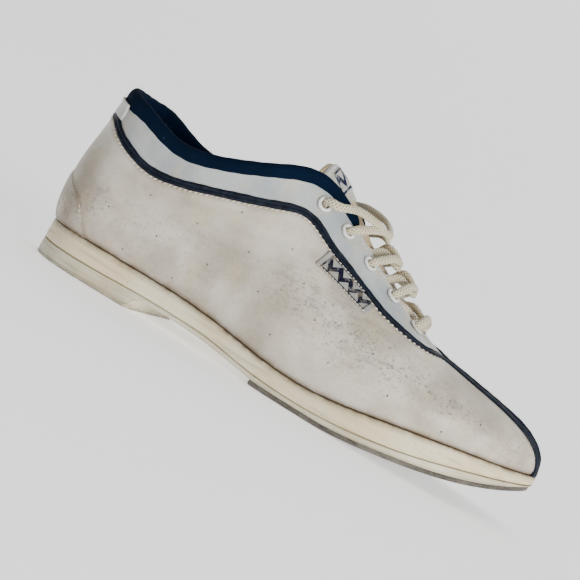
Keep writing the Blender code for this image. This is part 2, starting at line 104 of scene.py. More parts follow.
# %% Smooth lines and loops
def smooth_line(points, x):
    """Heights at x of a natural cubic spline through (x, value) points, level beyond its ends.

    Between two knots the curve is the cubic that keeps value, slope and bend equal at every knot; the bends
    come from one set of linear equations.
    """
    knots = np.array(points, float)
    knots = knots[np.argsort(knots[:, 0])]
    at, value = knots[:, 0], knots[:, 1]
    step = np.diff(at)
    matrix = np.eye(len(at))
    right = np.zeros(len(at))
    inner = np.arange(1, len(at) - 1)
    matrix[inner, inner - 1] = step[:-1]
    matrix[inner, inner] = 2 * (step[:-1] + step[1:])
    matrix[inner, inner + 1] = step[1:]
    right[inner] = 6 * (np.diff(value)[1:] / step[1:] - np.diff(value)[:-1] / step[:-1])
    bend = np.linalg.solve(matrix, right)
    x = np.clip(np.asarray(x, float), at[0], at[-1])
    i = np.clip(np.searchsorted(at, x) - 1, 0, len(step) - 1)
    d = x - at[i]
    slope = (value[i + 1] - value[i]) / step[i] - step[i] * (2 * bend[i] + bend[i + 1]) / 6
    return value[i] + slope * d + bend[i] / 2 * d ** 2 + (bend[i + 1] - bend[i]) / (6 * step[i]) * d ** 3


def smooth_loop(rows, t):
    """Rows at t on a closed cubic spline whose knots are one apart: Hermite arcs whose slopes solve
    slope before + 4 slope + slope after = 3 (row after - row before)."""
    rows = np.asarray(rows, float)
    count = len(rows)
    matrix = 4 * np.eye(count) + np.roll(np.eye(count), 1, 0) + np.roll(np.eye(count), -1, 0)
    slope = np.linalg.solve(matrix, 3 * (np.roll(rows, -1, 0) - np.roll(rows, 1, 0)))
    t = np.asarray(t, float) % count
    i = np.floor(t).astype(int) % count
    j = (i + 1) % count
    f = (t - np.floor(t))[..., None]
    return ((2 * f ** 3 - 3 * f ** 2 + 1) * rows[i] + (f ** 3 - 2 * f ** 2 + f) * slope[i]
            + (3 * f ** 2 - 2 * f ** 3) * rows[j] + (f ** 3 - f ** 2) * slope[j])


def both_sides(outer, inner):
    """Rows round the shoe: heel, outer side, toe, and back along the inner side."""
    return list(outer) + list(inner[1:-1])[::-1]


def unit(vectors):
    """Each vector divided by its length."""
    return vectors / np.maximum(np.linalg.norm(vectors, axis=-1, keepdims=True), 1e-9)


RIM_ROWS = both_sides([(x, outer) for x, outer, _ in SOLE_PLAN], [(x, inner) for x, _, inner in SOLE_PLAN])
WALL_ROWS = both_sides(OUTER_WALL, INNER_WALL)
STATIONS = len(RIM_ROWS)


# %% The rim of the sole and the wall of the upper
def rim(t):
    """Plan points of the sole's edge at stations t, and the outward directions (the tangent, turned)."""
    t = np.asarray(t, float)
    along = unit(smooth_loop(RIM_ROWS, t + 0.01) - smooth_loop(RIM_ROWS, t - 0.01))
    return smooth_loop(RIM_ROWS, t), np.stack([along[..., 1], -along[..., 0]], -1)


def wall_point(t, v):
    """Point of the upper's outer face: a cubic Bezier from the feather (v = 0) to the opening (v = 1).

    Its second control point leans outwards from the feather, and its third falls away from the opening.
    """
    t, v = np.broadcast_arrays(np.asarray(t, float), np.asarray(v, float))
    edge, outward = rim(t)
    foot = edge - outward * smooth_line(FEATHER_INSET, edge[..., 0])[..., None]
    row = smooth_loop(WALL_ROWS, t)
    start = np.concatenate([foot, (smooth_line(FEATHER_LINE, foot[..., 0]) + FOOT_LIFT)[..., None]], -1)
    end = row[..., :3]
    lean, reach, fall, drop = np.radians(row[..., 3]), row[..., 4], np.radians(row[..., 5]), row[..., 6]
    away = unit(start[..., :2] - end[..., :2] + outward * OPENING_FLARE)
    up = np.array([0.0, 0.0, 1.0])
    flat = np.zeros(outward.shape[:-1] + (1,))
    first = start + reach[..., None] * (np.concatenate([outward, flat], -1) * np.sin(lean)[..., None]
                                        + up * np.cos(lean)[..., None])
    second = end + drop[..., None] * (np.concatenate([away, flat], -1) * np.cos(fall)[..., None]
                                      - up * np.sin(fall)[..., None])
    v = v[..., None]
    return (1 - v) ** 3 * start + 3 * v * (1 - v) ** 2 * first + 3 * v ** 2 * (1 - v) * second + v ** 3 * end


def wall_frame(t, v):
    """Point, outward normal (round cross up) and upward direction of the upper's outer face."""
    t, v = np.broadcast_arrays(np.asarray(t, float), np.asarray(v, float))
    around = wall_point(t + 0.02, v) - wall_point(t - 0.02, v)
    upward = wall_point(t, v + 0.01) - wall_point(t, v - 0.01)
    return wall_point(t, v), unit(np.cross(around, upward)), unit(upward)


print("rim of", len(RIM_ROWS), "stations; opening at the heel", wall_point(0.0, 1.0).round(1))

# %% [markdown]
# ## Tools for surfaces
# A grid of points is a surface, and two grids with their edges joined are a piece of leather or cloth. Doing
# this with whole arrays keeps each shape a plain formula. The helpers also give a surface its own UV map in
# metres, which is what a weave or a braid needs to follow it.


# %% Grids, shells and pieces
def grid_faces(rows, columns, round_columns=False):
    """Faces of a grid of points, and the (column, row) of each corner, counted on past the closing seam."""
    i, j = np.meshgrid(np.arange(rows - 1), np.arange(columns - (not round_columns)), indexing="ij")
    near, far = j % columns, (j + 1) % columns
    one, other = i * columns + near, i * columns + far
    faces = np.stack([one, other, other + columns, one + columns], -1)
    corners = np.stack([np.stack([j + a, i + b], -1) for a, b in ((0, 0), (1, 0), (1, 1), (0, 1))], -2)
    return faces.reshape(-1, 4), corners.reshape(-1, 4, 2)


def shell(outer, inner, round_columns=False):
    """Points, faces and corners of a closed shell: outer grid, inner grid turned round, and strips between
    their edges. Where the columns close on themselves, only the first and last rows are edges."""
    rows, columns = outer.shape[:2]
    faces, corners = grid_faces(rows, columns, round_columns)
    half = rows * columns
    top, bottom = np.arange(columns), (rows - 1) * columns + np.arange(columns)
    if round_columns:
        edges = [np.append(top, 0), np.append(bottom, bottom[0])[::-1]]
    else:
        left, right = np.arange(rows) * columns, np.arange(rows) * columns + columns - 1
        edges = [np.concatenate([top, right[1:], bottom[::-1][1:], left[::-1][1:]])]
    strips = [np.stack([run[1:], run[:-1], run[:-1] + half, run[1:] + half], -1) for run in edges]
    strip = np.concatenate(strips)
    place = np.stack([strip % half % columns, strip % half // columns], -1)
    points = np.concatenate([outer.reshape(-1, 3), inner.reshape(-1, 3)])
    return points, np.concatenate([faces, faces[:, ::-1] + half, strip]), np.concatenate(
        [corners, corners[:, ::-1], place])


def make_mesh(name, points, faces, corners=None, cell=(1.0, 1.0), merge=0.0, sharp=None):
    """An object at the origin from points in millimetres, turned outwards by the sign of its volume.

    cell is the size in millimetres of one column and one row, which puts the UV map in metres.
    """
    mesh = bpy.data.meshes.new(name)
    mesh.from_pydata((np.asarray(points, float) * MM).tolist(), [], [list(face) for face in faces])
    if corners is not None:
        surface = mesh.uv_layers.new(name="surface")
        uv = (corners.reshape(-1, 2) * np.array(cell) * MM).astype(np.float32)
        surface.data.foreach_set("uv", uv.ravel())
    work = bmesh.new()
    work.from_mesh(mesh)
    if merge:
        bmesh.ops.remove_doubles(work, verts=work.verts, dist=merge * MM)
        bmesh.ops.dissolve_degenerate(work, edges=work.edges, dist=1e-7)
    bmesh.ops.recalc_face_normals(work, faces=work.faces)
    if work.calc_volume(signed=True) < 0:
        bmesh.ops.reverse_faces(work, faces=work.faces)
    work.to_mesh(mesh)
    work.free()
    mesh.shade_smooth()
    if sharp:
        mesh.set_sharp_from_angle(angle=np.radians(sharp))
    made = bpy.data.objects.new(name, mesh)
    bpy.context.scene.collection.objects.link(made)
    return made


def store(made, **numbers):
    """Numbers for the vertices, one for all or one each, which a material can read by name."""
    for name, values in numbers.items():
        each = np.broadcast_to(np.ravel(values), len(made.data.vertices)).astype(np.float32)
        made.data.attributes.new(name, "FLOAT", "POINT").data.foreach_set("value", each)


def places_of(made):
    """The places of the vertices, in millimetres."""
    places = np.empty(3 * len(made.data.vertices))
    made.data.vertices.foreach_get("co", places)
    return places.reshape(-1, 3) / MM


def settle(made):
    """Puts the result of the modifiers into the mesh, so that nothing live is left on the piece."""
    graph = bpy.context.evaluated_depsgraph_get()
    graph.update()
    mesh = bpy.data.meshes.new_from_object(made.evaluated_get(graph), depsgraph=graph)
    made.modifiers.clear()
    old, made.data = made.data, mesh
    bpy.data.meshes.remove(old)
    mesh.name = made.name
    return made


def finished(made, finish, slot, *nodes):
    """Gives a piece its material and its place in the frame, and says how large it came out."""
    made.data.materials.clear()
    made.data.materials.append(finish)
    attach(made, "root")
    if nodes:
        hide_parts(*nodes)
    made.data.calc_loop_triangles()
    print(made.name, "has", len(made.data.loop_triangles), "triangles")
    return made


# %% Lines on the wall
def spaced(knots, step, lay=lambda place: place):
    """Even places along a smooth curve through the knots, a step in millimetres apart: splines over the chord
    length. lay turns places into points, where the knots are places on a surface."""
    knots = np.asarray(knots, float)

    def run_of(place):
        return np.concatenate([[0], np.cumsum(np.linalg.norm(np.diff(lay(place), axis=0), axis=1))])

    run = run_of(knots)
    dense = np.linspace(0, run[-1], 40 * len(knots) + 200)
    columns = range(knots.shape[1])
    curve = np.stack([smooth_line(np.stack([run, knots[:, k]], 1), dense) for k in columns], -1)
    length = run_of(curve)
    even = np.linspace(0, length[-1], int(round(length[-1] / step)) + 1)
    return np.stack([np.interp(even, length, curve[:, k]) for k in columns], -1)


def wall_line(stations, step=0.8):
    """Even (t, v) places along a smooth line on the wall."""
    return spaced(stations, step, lambda place: wall_point(place[:, 0], place[:, 1]))


def nearest(points, line, size=4000):
    """Distance in millimetres from each point to the nearest point of a line, and its index there."""
    flat = points.reshape(-1, 3)
    parts = np.array_split(flat, max(1, len(flat) // size))
    gaps = [((part[:, None] - line[None]) ** 2).sum(-1) for part in parts]
    index = np.concatenate([gap.argmin(1) for gap in gaps])
    shortest = np.concatenate([gap.min(1) for gap in gaps])
    return np.sqrt(shortest).reshape(points.shape[:-1]), index.reshape(points.shape[:-1])


def below_edge(t, distance):
    """The v on the wall at stations t that lies this far below the opening, measured along the wall."""
    v = np.linspace(1, 0.4, 241)
    t = np.atleast_1d(np.asarray(t, float))
    run = wall_point(t[:, None], v[None, :])
    length = np.cumsum(np.linalg.norm(np.diff(run, axis=1), axis=2), axis=1)
    length = np.concatenate([np.zeros((len(t), 1)), length], 1)
    return np.array([np.interp(distance, one, v) for one in length])


# %% [markdown]
# ## Where the panels meet
# The upper is sewn from a lower panel, which wraps heel, sides and toe, and an upper one: the collar band,
# the two lace facings and a strip that runs on to the toe. Piping covers the seam between them. It is one
# long line, given here as places on the wall, and leather, piping and stitches all measure from it.

# %% The piping line
PIPING_OUTER = [(0.45, 0.862), (0.91, 0.845), (1.4, 0.79), (1.82, 0.748), (2.42, 0.723), (3.08, 0.758),
                (3.82, 0.788), (4.71, 0.797), (5.4, 0.803), (5.72, 0.808), (6.02, 0.793), (6.41, 0.742),
                (6.87, 0.708), (7.39, 0.677), (7.85, 0.655), (8.32, 0.662), (8.74, 0.69), (9.23, 0.75),
                (9.85, 0.835), (10.5, 0.835), (10.95, 0.715), (11.19, 0.53), (11.38, 0.34), (11.56, 0.16),
                (11.72, -0.01)]
PIPING_INNER = [(-11.86, -0.01), (-11.77, 0.12), (-11.65, 0.27), (-11.49, 0.53), (-11.22, 0.7),
                (-10.8, 0.81), (-10.17, 0.83), (-9.11, 0.72), (-8.49, 0.628), (-8.05, 0.578), (-7.54, 0.566),
                (-6.97, 0.572), (-6.3, 0.6), (-5.86, 0.66), (-5.4, 0.725), (-4.71, 0.775), (-3.82, 0.785),
                (-3.08, 0.76), (-2.42, 0.725), (-1.82, 0.748), (-1.4, 0.79), (-0.91, 0.845), (-0.45, 0.862)]
PIPING = wall_line(PIPING_INNER + [(0.0, 0.866)] + PIPING_OUTER, 0.7)
PIPING_POINTS = wall_point(PIPING[:, 0], PIPING[:, 1])


def from_piping(t, v):
    """Distance in millimetres from the piping line, positive on the upper panel and negative below it."""
    t, v = np.broadcast_arrays(t, v)
    distance, _ = nearest(wall_point(t, v), PIPING_POINTS)
    turned = (t + STATIONS / 2) % STATIONS - STATIONS / 2
    beyond = (turned > PIPING[-1, 0]) | (turned < PIPING[0, 0])
    above = beyond | (v > np.interp(turned, PIPING[:, 0], PIPING[:, 1]))
    return np.where(above, distance, -distance)


print("piping line of", len(PIPING), "places")

# %% [markdown]
# ## Finishes
# A painted image could be wrapped round the shoe, but a finish made of nodes has no seams and no fixed size.
# Each one starts from Object coordinates, or from the piece's own UV map where a weave follows it, and
# mixes a few noises into colour, roughness and bump. Leather gets its grain from cells, and dirt, painted
# shade over the heel and the back, and scuffs from numbers stored on its vertices; cloth gets its weave from
# crossed waves.


# %% A small workshop for materials
class Finish:
    """A material under construction: each method adds one node and returns its output."""

    def __init__(self, name, roughness=0.5, **constants):
        self.made = bpy.data.materials.new(name)
        self.made.use_nodes = True
        self.tree = self.made.node_tree
        self.shader = self.tree.nodes["Principled BSDF"]
        self.shader.inputs["Roughness"].default_value = roughness
        for socket, value in constants.items():
            self.shader.inputs[socket.replace("_", " ")].default_value = value

    def add(self, kind, feeds, **settings):
        node = self.tree.nodes.new(kind)
        for setting, value in settings.items():
            setattr(node, setting, value)
        for socket, value in feeds.items():
            if isinstance(value, bpy.types.NodeSocket):
                self.tree.links.new(value, node.inputs[socket])
            else:
                node.inputs[socket].default_value = value
        return node

    def place(self):
        """Object coordinates, in metres."""
        return self.add("ShaderNodeTexCoord", {}).outputs["Object"]

    def stretched(self, scale):
        """Object coordinates, scaled along each axis."""
        return self.add("ShaderNodeMapping", {"Vector": self.place(), "Scale": scale}).outputs[0]

    def surface(self):
        """Across and along the piece, in metres, from its UV map."""
        uv = self.add("ShaderNodeUVMap", {}, uv_map="surface").outputs[0]
        parts = self.add("ShaderNodeSeparateXYZ", {"Vector": uv}).outputs
        return parts[0], parts[1]

    def stored(self, name):
        """A number kept on the vertices."""
        return self.add("ShaderNodeAttribute", {}, attribute_name=name).outputs["Fac"]

    def noise(self, at, scale, detail=4.0, roughness=0.55):
        feeds = {"Vector": at, "Scale": scale, "Detail": detail, "Roughness": roughness}
        return self.add("ShaderNodeTexNoise", feeds).outputs[0]

    def cells(self, at, scale):
        return self.add("ShaderNodeTexVoronoi", {"Vector": at, "Scale": scale}).outputs["Distance"]

    def sum(self, operation, a, b=0.0):
        return self.add("ShaderNodeMath", {0: a, 1: b}, operation=operation).outputs[0]

    def times(self, *values):
        product = values[0]
        for value in values[1:]:
            product = self.sum("MULTIPLY", product, value)
        return product

    def band(self, value, low, high, start=0.0, end=1.0):
        """A soft step from start to end as the value goes from low to high."""
        feeds = {0: value, 1: low, 2: high, 3: start, 4: end}
        return self.add("ShaderNodeMapRange", feeds, interpolation_type="SMOOTHSTEP").outputs[0]

    def wave(self, value, count):
        """A sine of so many waves a metre, from 0 to 1."""
        turned = self.sum("SINE", self.times(value, 2 * np.pi * count))
        return self.add("ShaderNodeMath", {0: turned, 1: 0.5, 2: 0.5}, operation="MULTIPLY_ADD").outputs[0]

    def mix(self, factor, a, b):
        """Colour a, going over to colour b."""
        one, other = [(*c, 1.0) if isinstance(c, tuple) else c for c in (a, b)]
        node = self.add("ShaderNodeMix", {0: factor, 6: one, 7: other}, data_type="RGBA")
        return node.outputs[2]

    def bump(self, height, distance, strength=0.5, over=None):
        feeds = {"Height": height, "Distance": distance * MM, "Strength": strength}
        if over is not None:
            feeds["Normal"] = over
        return self.add("ShaderNodeBump", feeds).outputs[0]

    def done(self, colour, roughness=None, normal=None):
        for socket, value in (("Base Color", colour), ("Roughness", roughness), ("Normal", normal)):
            if isinstance(value, bpy.types.NodeSocket):
                self.tree.links.new(value, self.shader.inputs[socket])
            elif value is not None:
                self.shader.inputs[socket].default_value = (*value, 1.0) if socket == "Base Color" else value
        return self.made


def paint(red, green, blue):
    """A colour as it looks, 0 to 255, turned into the linear numbers that a shader takes."""
    shown = np.array([red, green, blue], float) / 255
    linear = np.where(shown <= 0.04045, shown / 12.92, ((shown + 0.055) / 1.055) ** 2.4)
    return tuple(linear.tolist())


# %% Worn leather
IVORY, IVORY_SHADE = paint(210, 204, 192), paint(172, 162, 146)
COOL_WHITE, COOL_SHADE = paint(186, 190, 191), paint(154, 162, 166)
# The brown for dirt also paints the shade over the heel and the back.
YELLOWED, GRIME_AND_SHADE, SCUFF_GREY = paint(203, 188, 155), paint(104, 82, 58), paint(92, 88, 84)


def leather_finish():
    """Ivory below the piping, cooler white above it; blotches, pores, grey scuff marks, and a brown that is
    dirt and also painted shade over the heel and the back.
    """
    f = Finish("worn_ivory_leather", Coat_Weight=0.06, Coat_Roughness=0.35)
    at = f.place()
    upper_panel, grime, scuffed = f.stored("upper_panel"), f.stored("grime"), f.stored("scuffed")
    cloud, blotch = f.noise(at, 26, 5), f.noise(at, 75, 4, 0.6)
    ivory = f.mix(f.band(cloud, 0.36, 0.66), IVORY_SHADE, IVORY)
    white = f.mix(f.band(cloud, 0.36, 0.62), COOL_SHADE, COOL_WHITE)
    colour = f.mix(upper_panel, ivory, white)
    colour = f.mix(f.times(f.band(blotch, 0.5, 0.72), 0.55), colour, YELLOWED)
    marks = f.band(f.noise(at, 520, 6, 0.8), 0.52, 0.62)
    smears = f.band(f.noise(f.stretched((60, 60, 190)), 1.0, 5, 0.7), 0.5, 0.68)
    rubbed = f.times(scuffed, f.sum("MAXIMUM", f.times(marks, 0.9), f.times(smears, 0.6)))
    colour = f.mix(rubbed, colour, SCUFF_GREY)
    flecks = f.band(f.cells(at, 165), 0.055, 0.02)
    colour = f.mix(f.times(flecks, 0.3), colour, GRIME_AND_SHADE)
    # The stored darkening is dirt, and over the heel and the back also painted shade.
    dirt = f.times(grime, f.band(f.noise(at, 120, 5, 0.65), 0.25, 0.6, 0.35, 1.0))
    colour = f.mix(dirt, colour, GRIME_AND_SHADE)
    pores = f.band(f.cells(at, 900), 0.0, 0.35)
    wrinkles = f.noise(f.stretched((420, 420, 300)), 1.0, 5, 0.6)
    normal = f.bump(wrinkles, 0.18, 0.5, over=f.bump(pores, 0.06, 0.45))
    roughness = f.sum("ADD", f.band(blotch, 0.3, 0.7, 0.36, 0.52), f.times(rubbed, 0.25))
    return f.done(colour, roughness, normal)


LEATHER = leather_finish()


# %% Navy cloth and piping
def weave_finish(name, warp, weft, lint, threads, gloss=0.3, bump=0.18, dirt=None, flat=False, spots=()):
    """Crossed threads: two waves over the piece's own surface, or over its plan if it is a flat piece, and
    the higher of the two on top. spots are dark worn dots: soft discs round a place, with a reach."""
    f = Finish(name, Specular_IOR_Level=gloss)
    at = f.place()
    across, along = f.add("ShaderNodeSeparateXYZ", {"Vector": at}).outputs[:2] if flat else f.surface()
    over = f.times(f.wave(across, threads), f.wave(along, threads / 2))
    under = f.times(f.sum("SUBTRACT", 1.0, f.wave(across, threads)), f.wave(along, threads))
    height = f.sum("MAXIMUM", over, under)
    colour = f.mix(f.band(height, 0.15, 0.75), warp, weft)
    colour = f.mix(f.times(f.band(f.noise(at, 60, 4), 0.4, 0.7), 0.45), colour, warp)
    if dirt:
        colour = f.mix(f.times(f.band(f.noise(at, 34, 5, 0.65), 0.45, 0.72), 0.7), colour, dirt)
    dust = f.band(f.cells(at, 230), 0.075, 0.03)
    colour = f.mix(f.times(dust, f.band(f.noise(at, 45, 2), 0.5, 0.62), 0.75), colour, lint)
    for spot, reach in spots:
        gap = f.add("ShaderNodeVectorMath", {0: at, 1: spot}, operation="DISTANCE").outputs["Value"]
        wobble = f.sum("ADD", gap, f.times(f.noise(at, 400, 3), 0.002))
        colour = f.mix(f.band(wobble, reach + 0.0016, reach), colour, paint(52, 44, 38))
    return f.done(colour, 0.95, f.bump(height, bump, 0.6))


INSOLE_SPOTS = [((-0.0745, -0.0015, 0.0225), 0.0042), ((-0.0672, 0.0040, 0.0225), 0.0030)]  # metres
NAVY_CLOTH = weave_finish("navy_knit", paint(2, 12, 28), paint(7, 27, 50), paint(120, 130, 142), 1500,
                          gloss=0.06)
TONGUE_CLOTH = weave_finish("beige_duck", paint(186, 164, 128), paint(224, 206, 174), paint(235, 228, 214),
                            1600, dirt=paint(150, 124, 88))
INSOLE_CLOTH = weave_finish("taupe_sock", paint(132, 120, 108), paint(172, 160, 146), paint(190, 184, 174),
                            1300, dirt=paint(92, 80, 68), bump=0.1, flat=True, spots=INSOLE_SPOTS)


def piping_finish():
    """Dark folded vinyl: two soft ridges, mottled, and grey along the crests that is partly rubbed wear and
    partly painted sheen.
    """
    f = Finish("navy_piping", Specular_IOR_Level=0.12, Coat_Weight=0.04, Coat_Roughness=0.45)
    at = f.place()
    crest = f.stored("crest")
    colour = f.mix(f.band(f.noise(at, 300, 4), 0.35, 0.7), paint(8, 14, 26), paint(20, 28, 42))
    # Grey along the crests is partly rubbed wear and partly a painted sheen on the ridges.
    worn = f.times(crest, f.band(f.noise(at, 180, 5, 0.7), 0.5, 0.68))
    colour = f.mix(f.times(worn, 0.25), colour, paint(64, 70, 80))
    roughness = f.band(f.noise(at, 220, 3), 0.3, 0.7, 0.38, 0.6)
    return f.done(colour, roughness, f.bump(f.noise(at, 1500, 3), 0.08, 0.5))


PIPING_VINYL = piping_finish()


# %% Rubber, suede, enamel, thread
def rubber_finish(name, pale, deep, grime_from):
    """Aged moulded rubber: yellowed in clouds, streaked along the edge, and darker along a stored edge: dirty
    where the midsole meets the leather, darker towards the outsole's bottom edge.
    """
    f = Finish(name)
    at = f.place()
    streak = f.noise(f.stretched((16, 60, 420)), 1.0, 5, 0.6)
    colour = f.mix(f.band(f.noise(at, 22, 4), 0.35, 0.68), pale, deep)
    colour = f.mix(f.times(f.band(streak, 0.5, 0.72), 0.5), colour, paint(150, 136, 106))
    specks = f.band(f.noise(at, 520, 5, 0.7), 0.6, 0.7)
    colour = f.mix(f.times(specks, 0.5), colour, paint(96, 84, 66))
    dirt = f.times(f.stored("grime"), f.band(f.noise(at, 200, 4), 0.25, 0.6, 0.45, 1.0))
    colour = f.mix(dirt, colour, grime_from)
    height = f.noise(f.stretched((200, 400, 900)), 1.0, 4)
    return f.done(colour, f.band(streak, 0.3, 0.7, 0.4, 0.64), f.bump(height, 0.1, 0.5))


CREAM_RUBBER = rubber_finish("aged_cream_rubber", paint(226, 217, 190), paint(214, 199, 163),
                             paint(86, 64, 42))
PALE_RUBBER = rubber_finish("pale_sole_rubber", paint(214, 207, 186), paint(192, 183, 157), paint(88, 80, 70))


def suede_finish():
    """Dark slide leather: short fibres brushed along the sole, polished grey where it has slid."""
    f = Finish("slide_suede", Sheen_Weight=0.15)
    at = f.place()
    fibre = f.noise(f.stretched((300, 900, 900)), 1.0, 6, 0.7)
    colour = f.mix(f.band(fibre, 0.35, 0.7), paint(58, 53, 48), paint(98, 92, 84))
    colour = f.mix(f.times(f.band(f.noise(at, 40, 4), 0.5, 0.7), 0.5), colour, paint(128, 122, 112))
    return f.done(colour, 0.88, f.bump(fibre, 0.25, 0.6))


def enamel_finish():
    """White enamel over metal: glossy, dirty in the corners, chipped to dull metal on the rim."""
    f = Finish("eyelet_enamel", Coat_Weight=0.3, Coat_Roughness=0.15)
    at = f.place()
    chipped = f.times(f.stored("rim"), f.band(f.noise(at, 700, 4, 0.6), 0.56, 0.62))
    colour = f.mix(f.band(f.noise(at, 300, 4), 0.4, 0.75), paint(232, 233, 230), paint(198, 194, 182))
    colour = f.mix(f.stored("grime"), colour, paint(92, 82, 66))
    colour = f.mix(chipped, colour, paint(120, 116, 108))
    roughness = f.band(f.noise(at, 400, 3), 0.3, 0.7, 0.22, 0.4)
    return f.done(colour, roughness, f.bump(f.noise(at, 900, 3), 0.04, 0.4))


def braid_finish():
    """Braided cotton: two sets of strands that cross slantwise, a dot of shade in each gap, and dirt."""
    f = Finish("braided_cotton", Sheen_Weight=0.2)
    round_it, along = f.surface()
    at = f.place()
    one = f.wave(f.sum("ADD", f.times(round_it, 0.9), along), 560)
    other = f.wave(f.sum("SUBTRACT", f.times(round_it, 0.9), along), 560)
    height = f.sum("MAXIMUM", one, other)
    colour = f.mix(f.band(height, 0.45, 0.95), paint(150, 138, 110), paint(222, 212, 186))
    colour = f.mix(f.times(f.band(f.noise(at, 70, 5, 0.65), 0.48, 0.74), 0.55), colour, paint(146, 128, 96))
    return f.done(colour, 0.85, f.bump(height, 0.35, 0.7))


def thread_finish():
    """Waxed thread: two plies that twist, drawn as a fine stretched noise between two tones."""
    f = Finish("waxed_thread")
    ply = f.noise(f.stretched((1500, 1500, 2600)), 1.0, 2)
    colour = f.mix(f.band(ply, 0.35, 0.65), paint(188, 177, 150), paint(236, 230, 214))
    return f.done(colour, 0.65, f.bump(ply, 0.1, 0.6))


SUEDE, ENAMEL, BRAID, THREAD = suede_finish(), enamel_finish(), braid_finish(), thread_finish()


# %% [markdown]
# ## The leather
# The real upper is two panels pulled wet over the last. One grid over the wall function gives that form, and
# small moves along the normal give what the hand sees: the puffed edges beside the piping, soft troughs where
# the foot bends, a slight sag. Solidify gives it a thickness, and an exact Boolean punches the holes, which
# keeps their edges true. The alternative, sculpting, could not be repeated exactly.

# %% Creases, wear and painted shade
CREASES = [
    ([(7.1, 0.46), (7.7, 0.42), (8.3, 0.34), (8.8, 0.24)], 0.42, 3.2),
    ([(7.6, 0.56), (8.1, 0.52), (8.7, 0.42), (9.2, 0.28)], 0.34, 2.8),
    ([(8.5, 0.6), (9.0, 0.52), (9.5, 0.38)], 0.26, 2.6),
    ([(3.3, 0.56), (3.9, 0.5), (4.6, 0.47), (5.3, 0.5)], 0.3, 3.5),
    ([(4.3, 0.66), (4.9, 0.62), (5.5, 0.6)], 0.24, 2.8),
    ([(2.2, 0.5), (2.7, 0.42), (3.1, 0.3)], 0.24, 3.0),
    ([(-7.0, 0.46), (-7.7, 0.42), (-8.4, 0.34), (-9.0, 0.24)], 0.45, 3.2),
    ([(-7.6, 0.54), (-8.3, 0.5), (-9.0, 0.4)], 0.34, 2.8),
    ([(-3.4, 0.58), (-4.2, 0.5), (-5.2, 0.48)], 0.32, 3.5),
    ([(-2.3, 0.5), (-2.8, 0.38), (-3.2, 0.28)], 0.26, 3.0),
    ([(10.6, 0.9), (11.4, 0.88), (12.2, 0.9), (12.9, 0.92)], 0.22, 3.0),
    ([(10.9, 0.76), (11.6, 0.74), (12.4, 0.77)], 0.18, 3.4),
]  # places (t, v) along each trough, its depth and its width
# Scuffs: station, v, spread round the shoe in stations, spread in v, strength.
SCUFFS = [(7.6, 0.36, 1.25, 0.17, 0.8), (6.3, 0.42, 0.8, 0.12, 0.45), (9.3, 0.32, 0.8, 0.16, 0.6),
          (10.9, 0.2, 0.6, 0.14, 0.5), (1.25, 0.2, 0.5, 0.12, 0.7), (2.0, 0.34, 0.4, 0.12, 0.5),
          (-8.0, 0.3, 1.4, 0.2, 0.55), (-1.2, 0.2, 0.6, 0.14, 0.5), (3.6, 0.32, 1.2, 0.2, 0.3)]
# The heel and back terms darken the heel and the whole back: partly dirt, partly painted shade.
SCUFFED_EVERYWHERE, HEEL_GRIME_AND_SHADE, BACK_GRIME_AND_SHADE, COUNTER_GRIME = 0.15, 0.36, 0.14, 0.34
STRIP_START, STRIP_FADE = 64.0, 14.0  # where the strip to the toe begins, and how long it takes to form
STRIP_HOLLOW, STRIP_RIDGE, LAST_CREST_Y = 1.5, 0.9, 4.0


def leather_relief(t, v):
    """How far the leather stands off the wall function, in millimetres.

    Bell curves of the distance from a line: a seam trough with a puffed roll on each side, a trough with a
    low ridge beside it for each crease, and slow waves for the pull of the last.
    """
    point = wall_point(t, v)
    seam = from_piping(t, v)
    relief = 0.42 * np.exp(-((seam + 4.2) / 2.2) ** 2) + 0.2 * np.exp(-((seam - 4.0) / 2.2) ** 2)
    relief -= 0.5 * np.exp(-(seam / 1.6) ** 2)
    for line, depth, width in CREASES:
        path = wall_line(line, 1.0)
        along = wall_point(path[:, 0], path[:, 1])
        distance, index = nearest(point, along)
        share = index / (len(path) - 1)
        fade = np.sin(np.pi * np.clip(share, 0.02, 0.98)) ** 0.6
        relief -= depth * fade * np.exp(-(distance / width) ** 2)
        relief += 0.45 * depth * fade * np.exp(-((distance - 1.9 * width) / width) ** 2)
    x, y, z = point[..., 0], point[..., 1], point[..., 2]
    ahead = np.clip((x - STRIP_START) / STRIP_FADE, 0, 1)
    strip = ahead * (seam > 0) * (1 - np.exp(-(seam / 4.0) ** 2))
    ridge = ahead * np.clip((LAST_CREST_Y - y) / 6, 0, 1) * np.exp(-(seam / 7) ** 2)
    relief += STRIP_RIDGE * ridge - STRIP_HOLLOW * strip
    relief += 0.16 * np.sin(x / 11 + 1.3 * np.sin(z / 17)) * np.sin(z / 9 + y / 23)
    relief += 0.1 * np.sin(x / 4.3 + z / 6.1) * np.sin(y / 7 - z / 5.2)
    hold = np.clip(v / 0.05, 0, 1) * np.clip((1 - v) / 0.03, 0, 1)
    return relief * hold


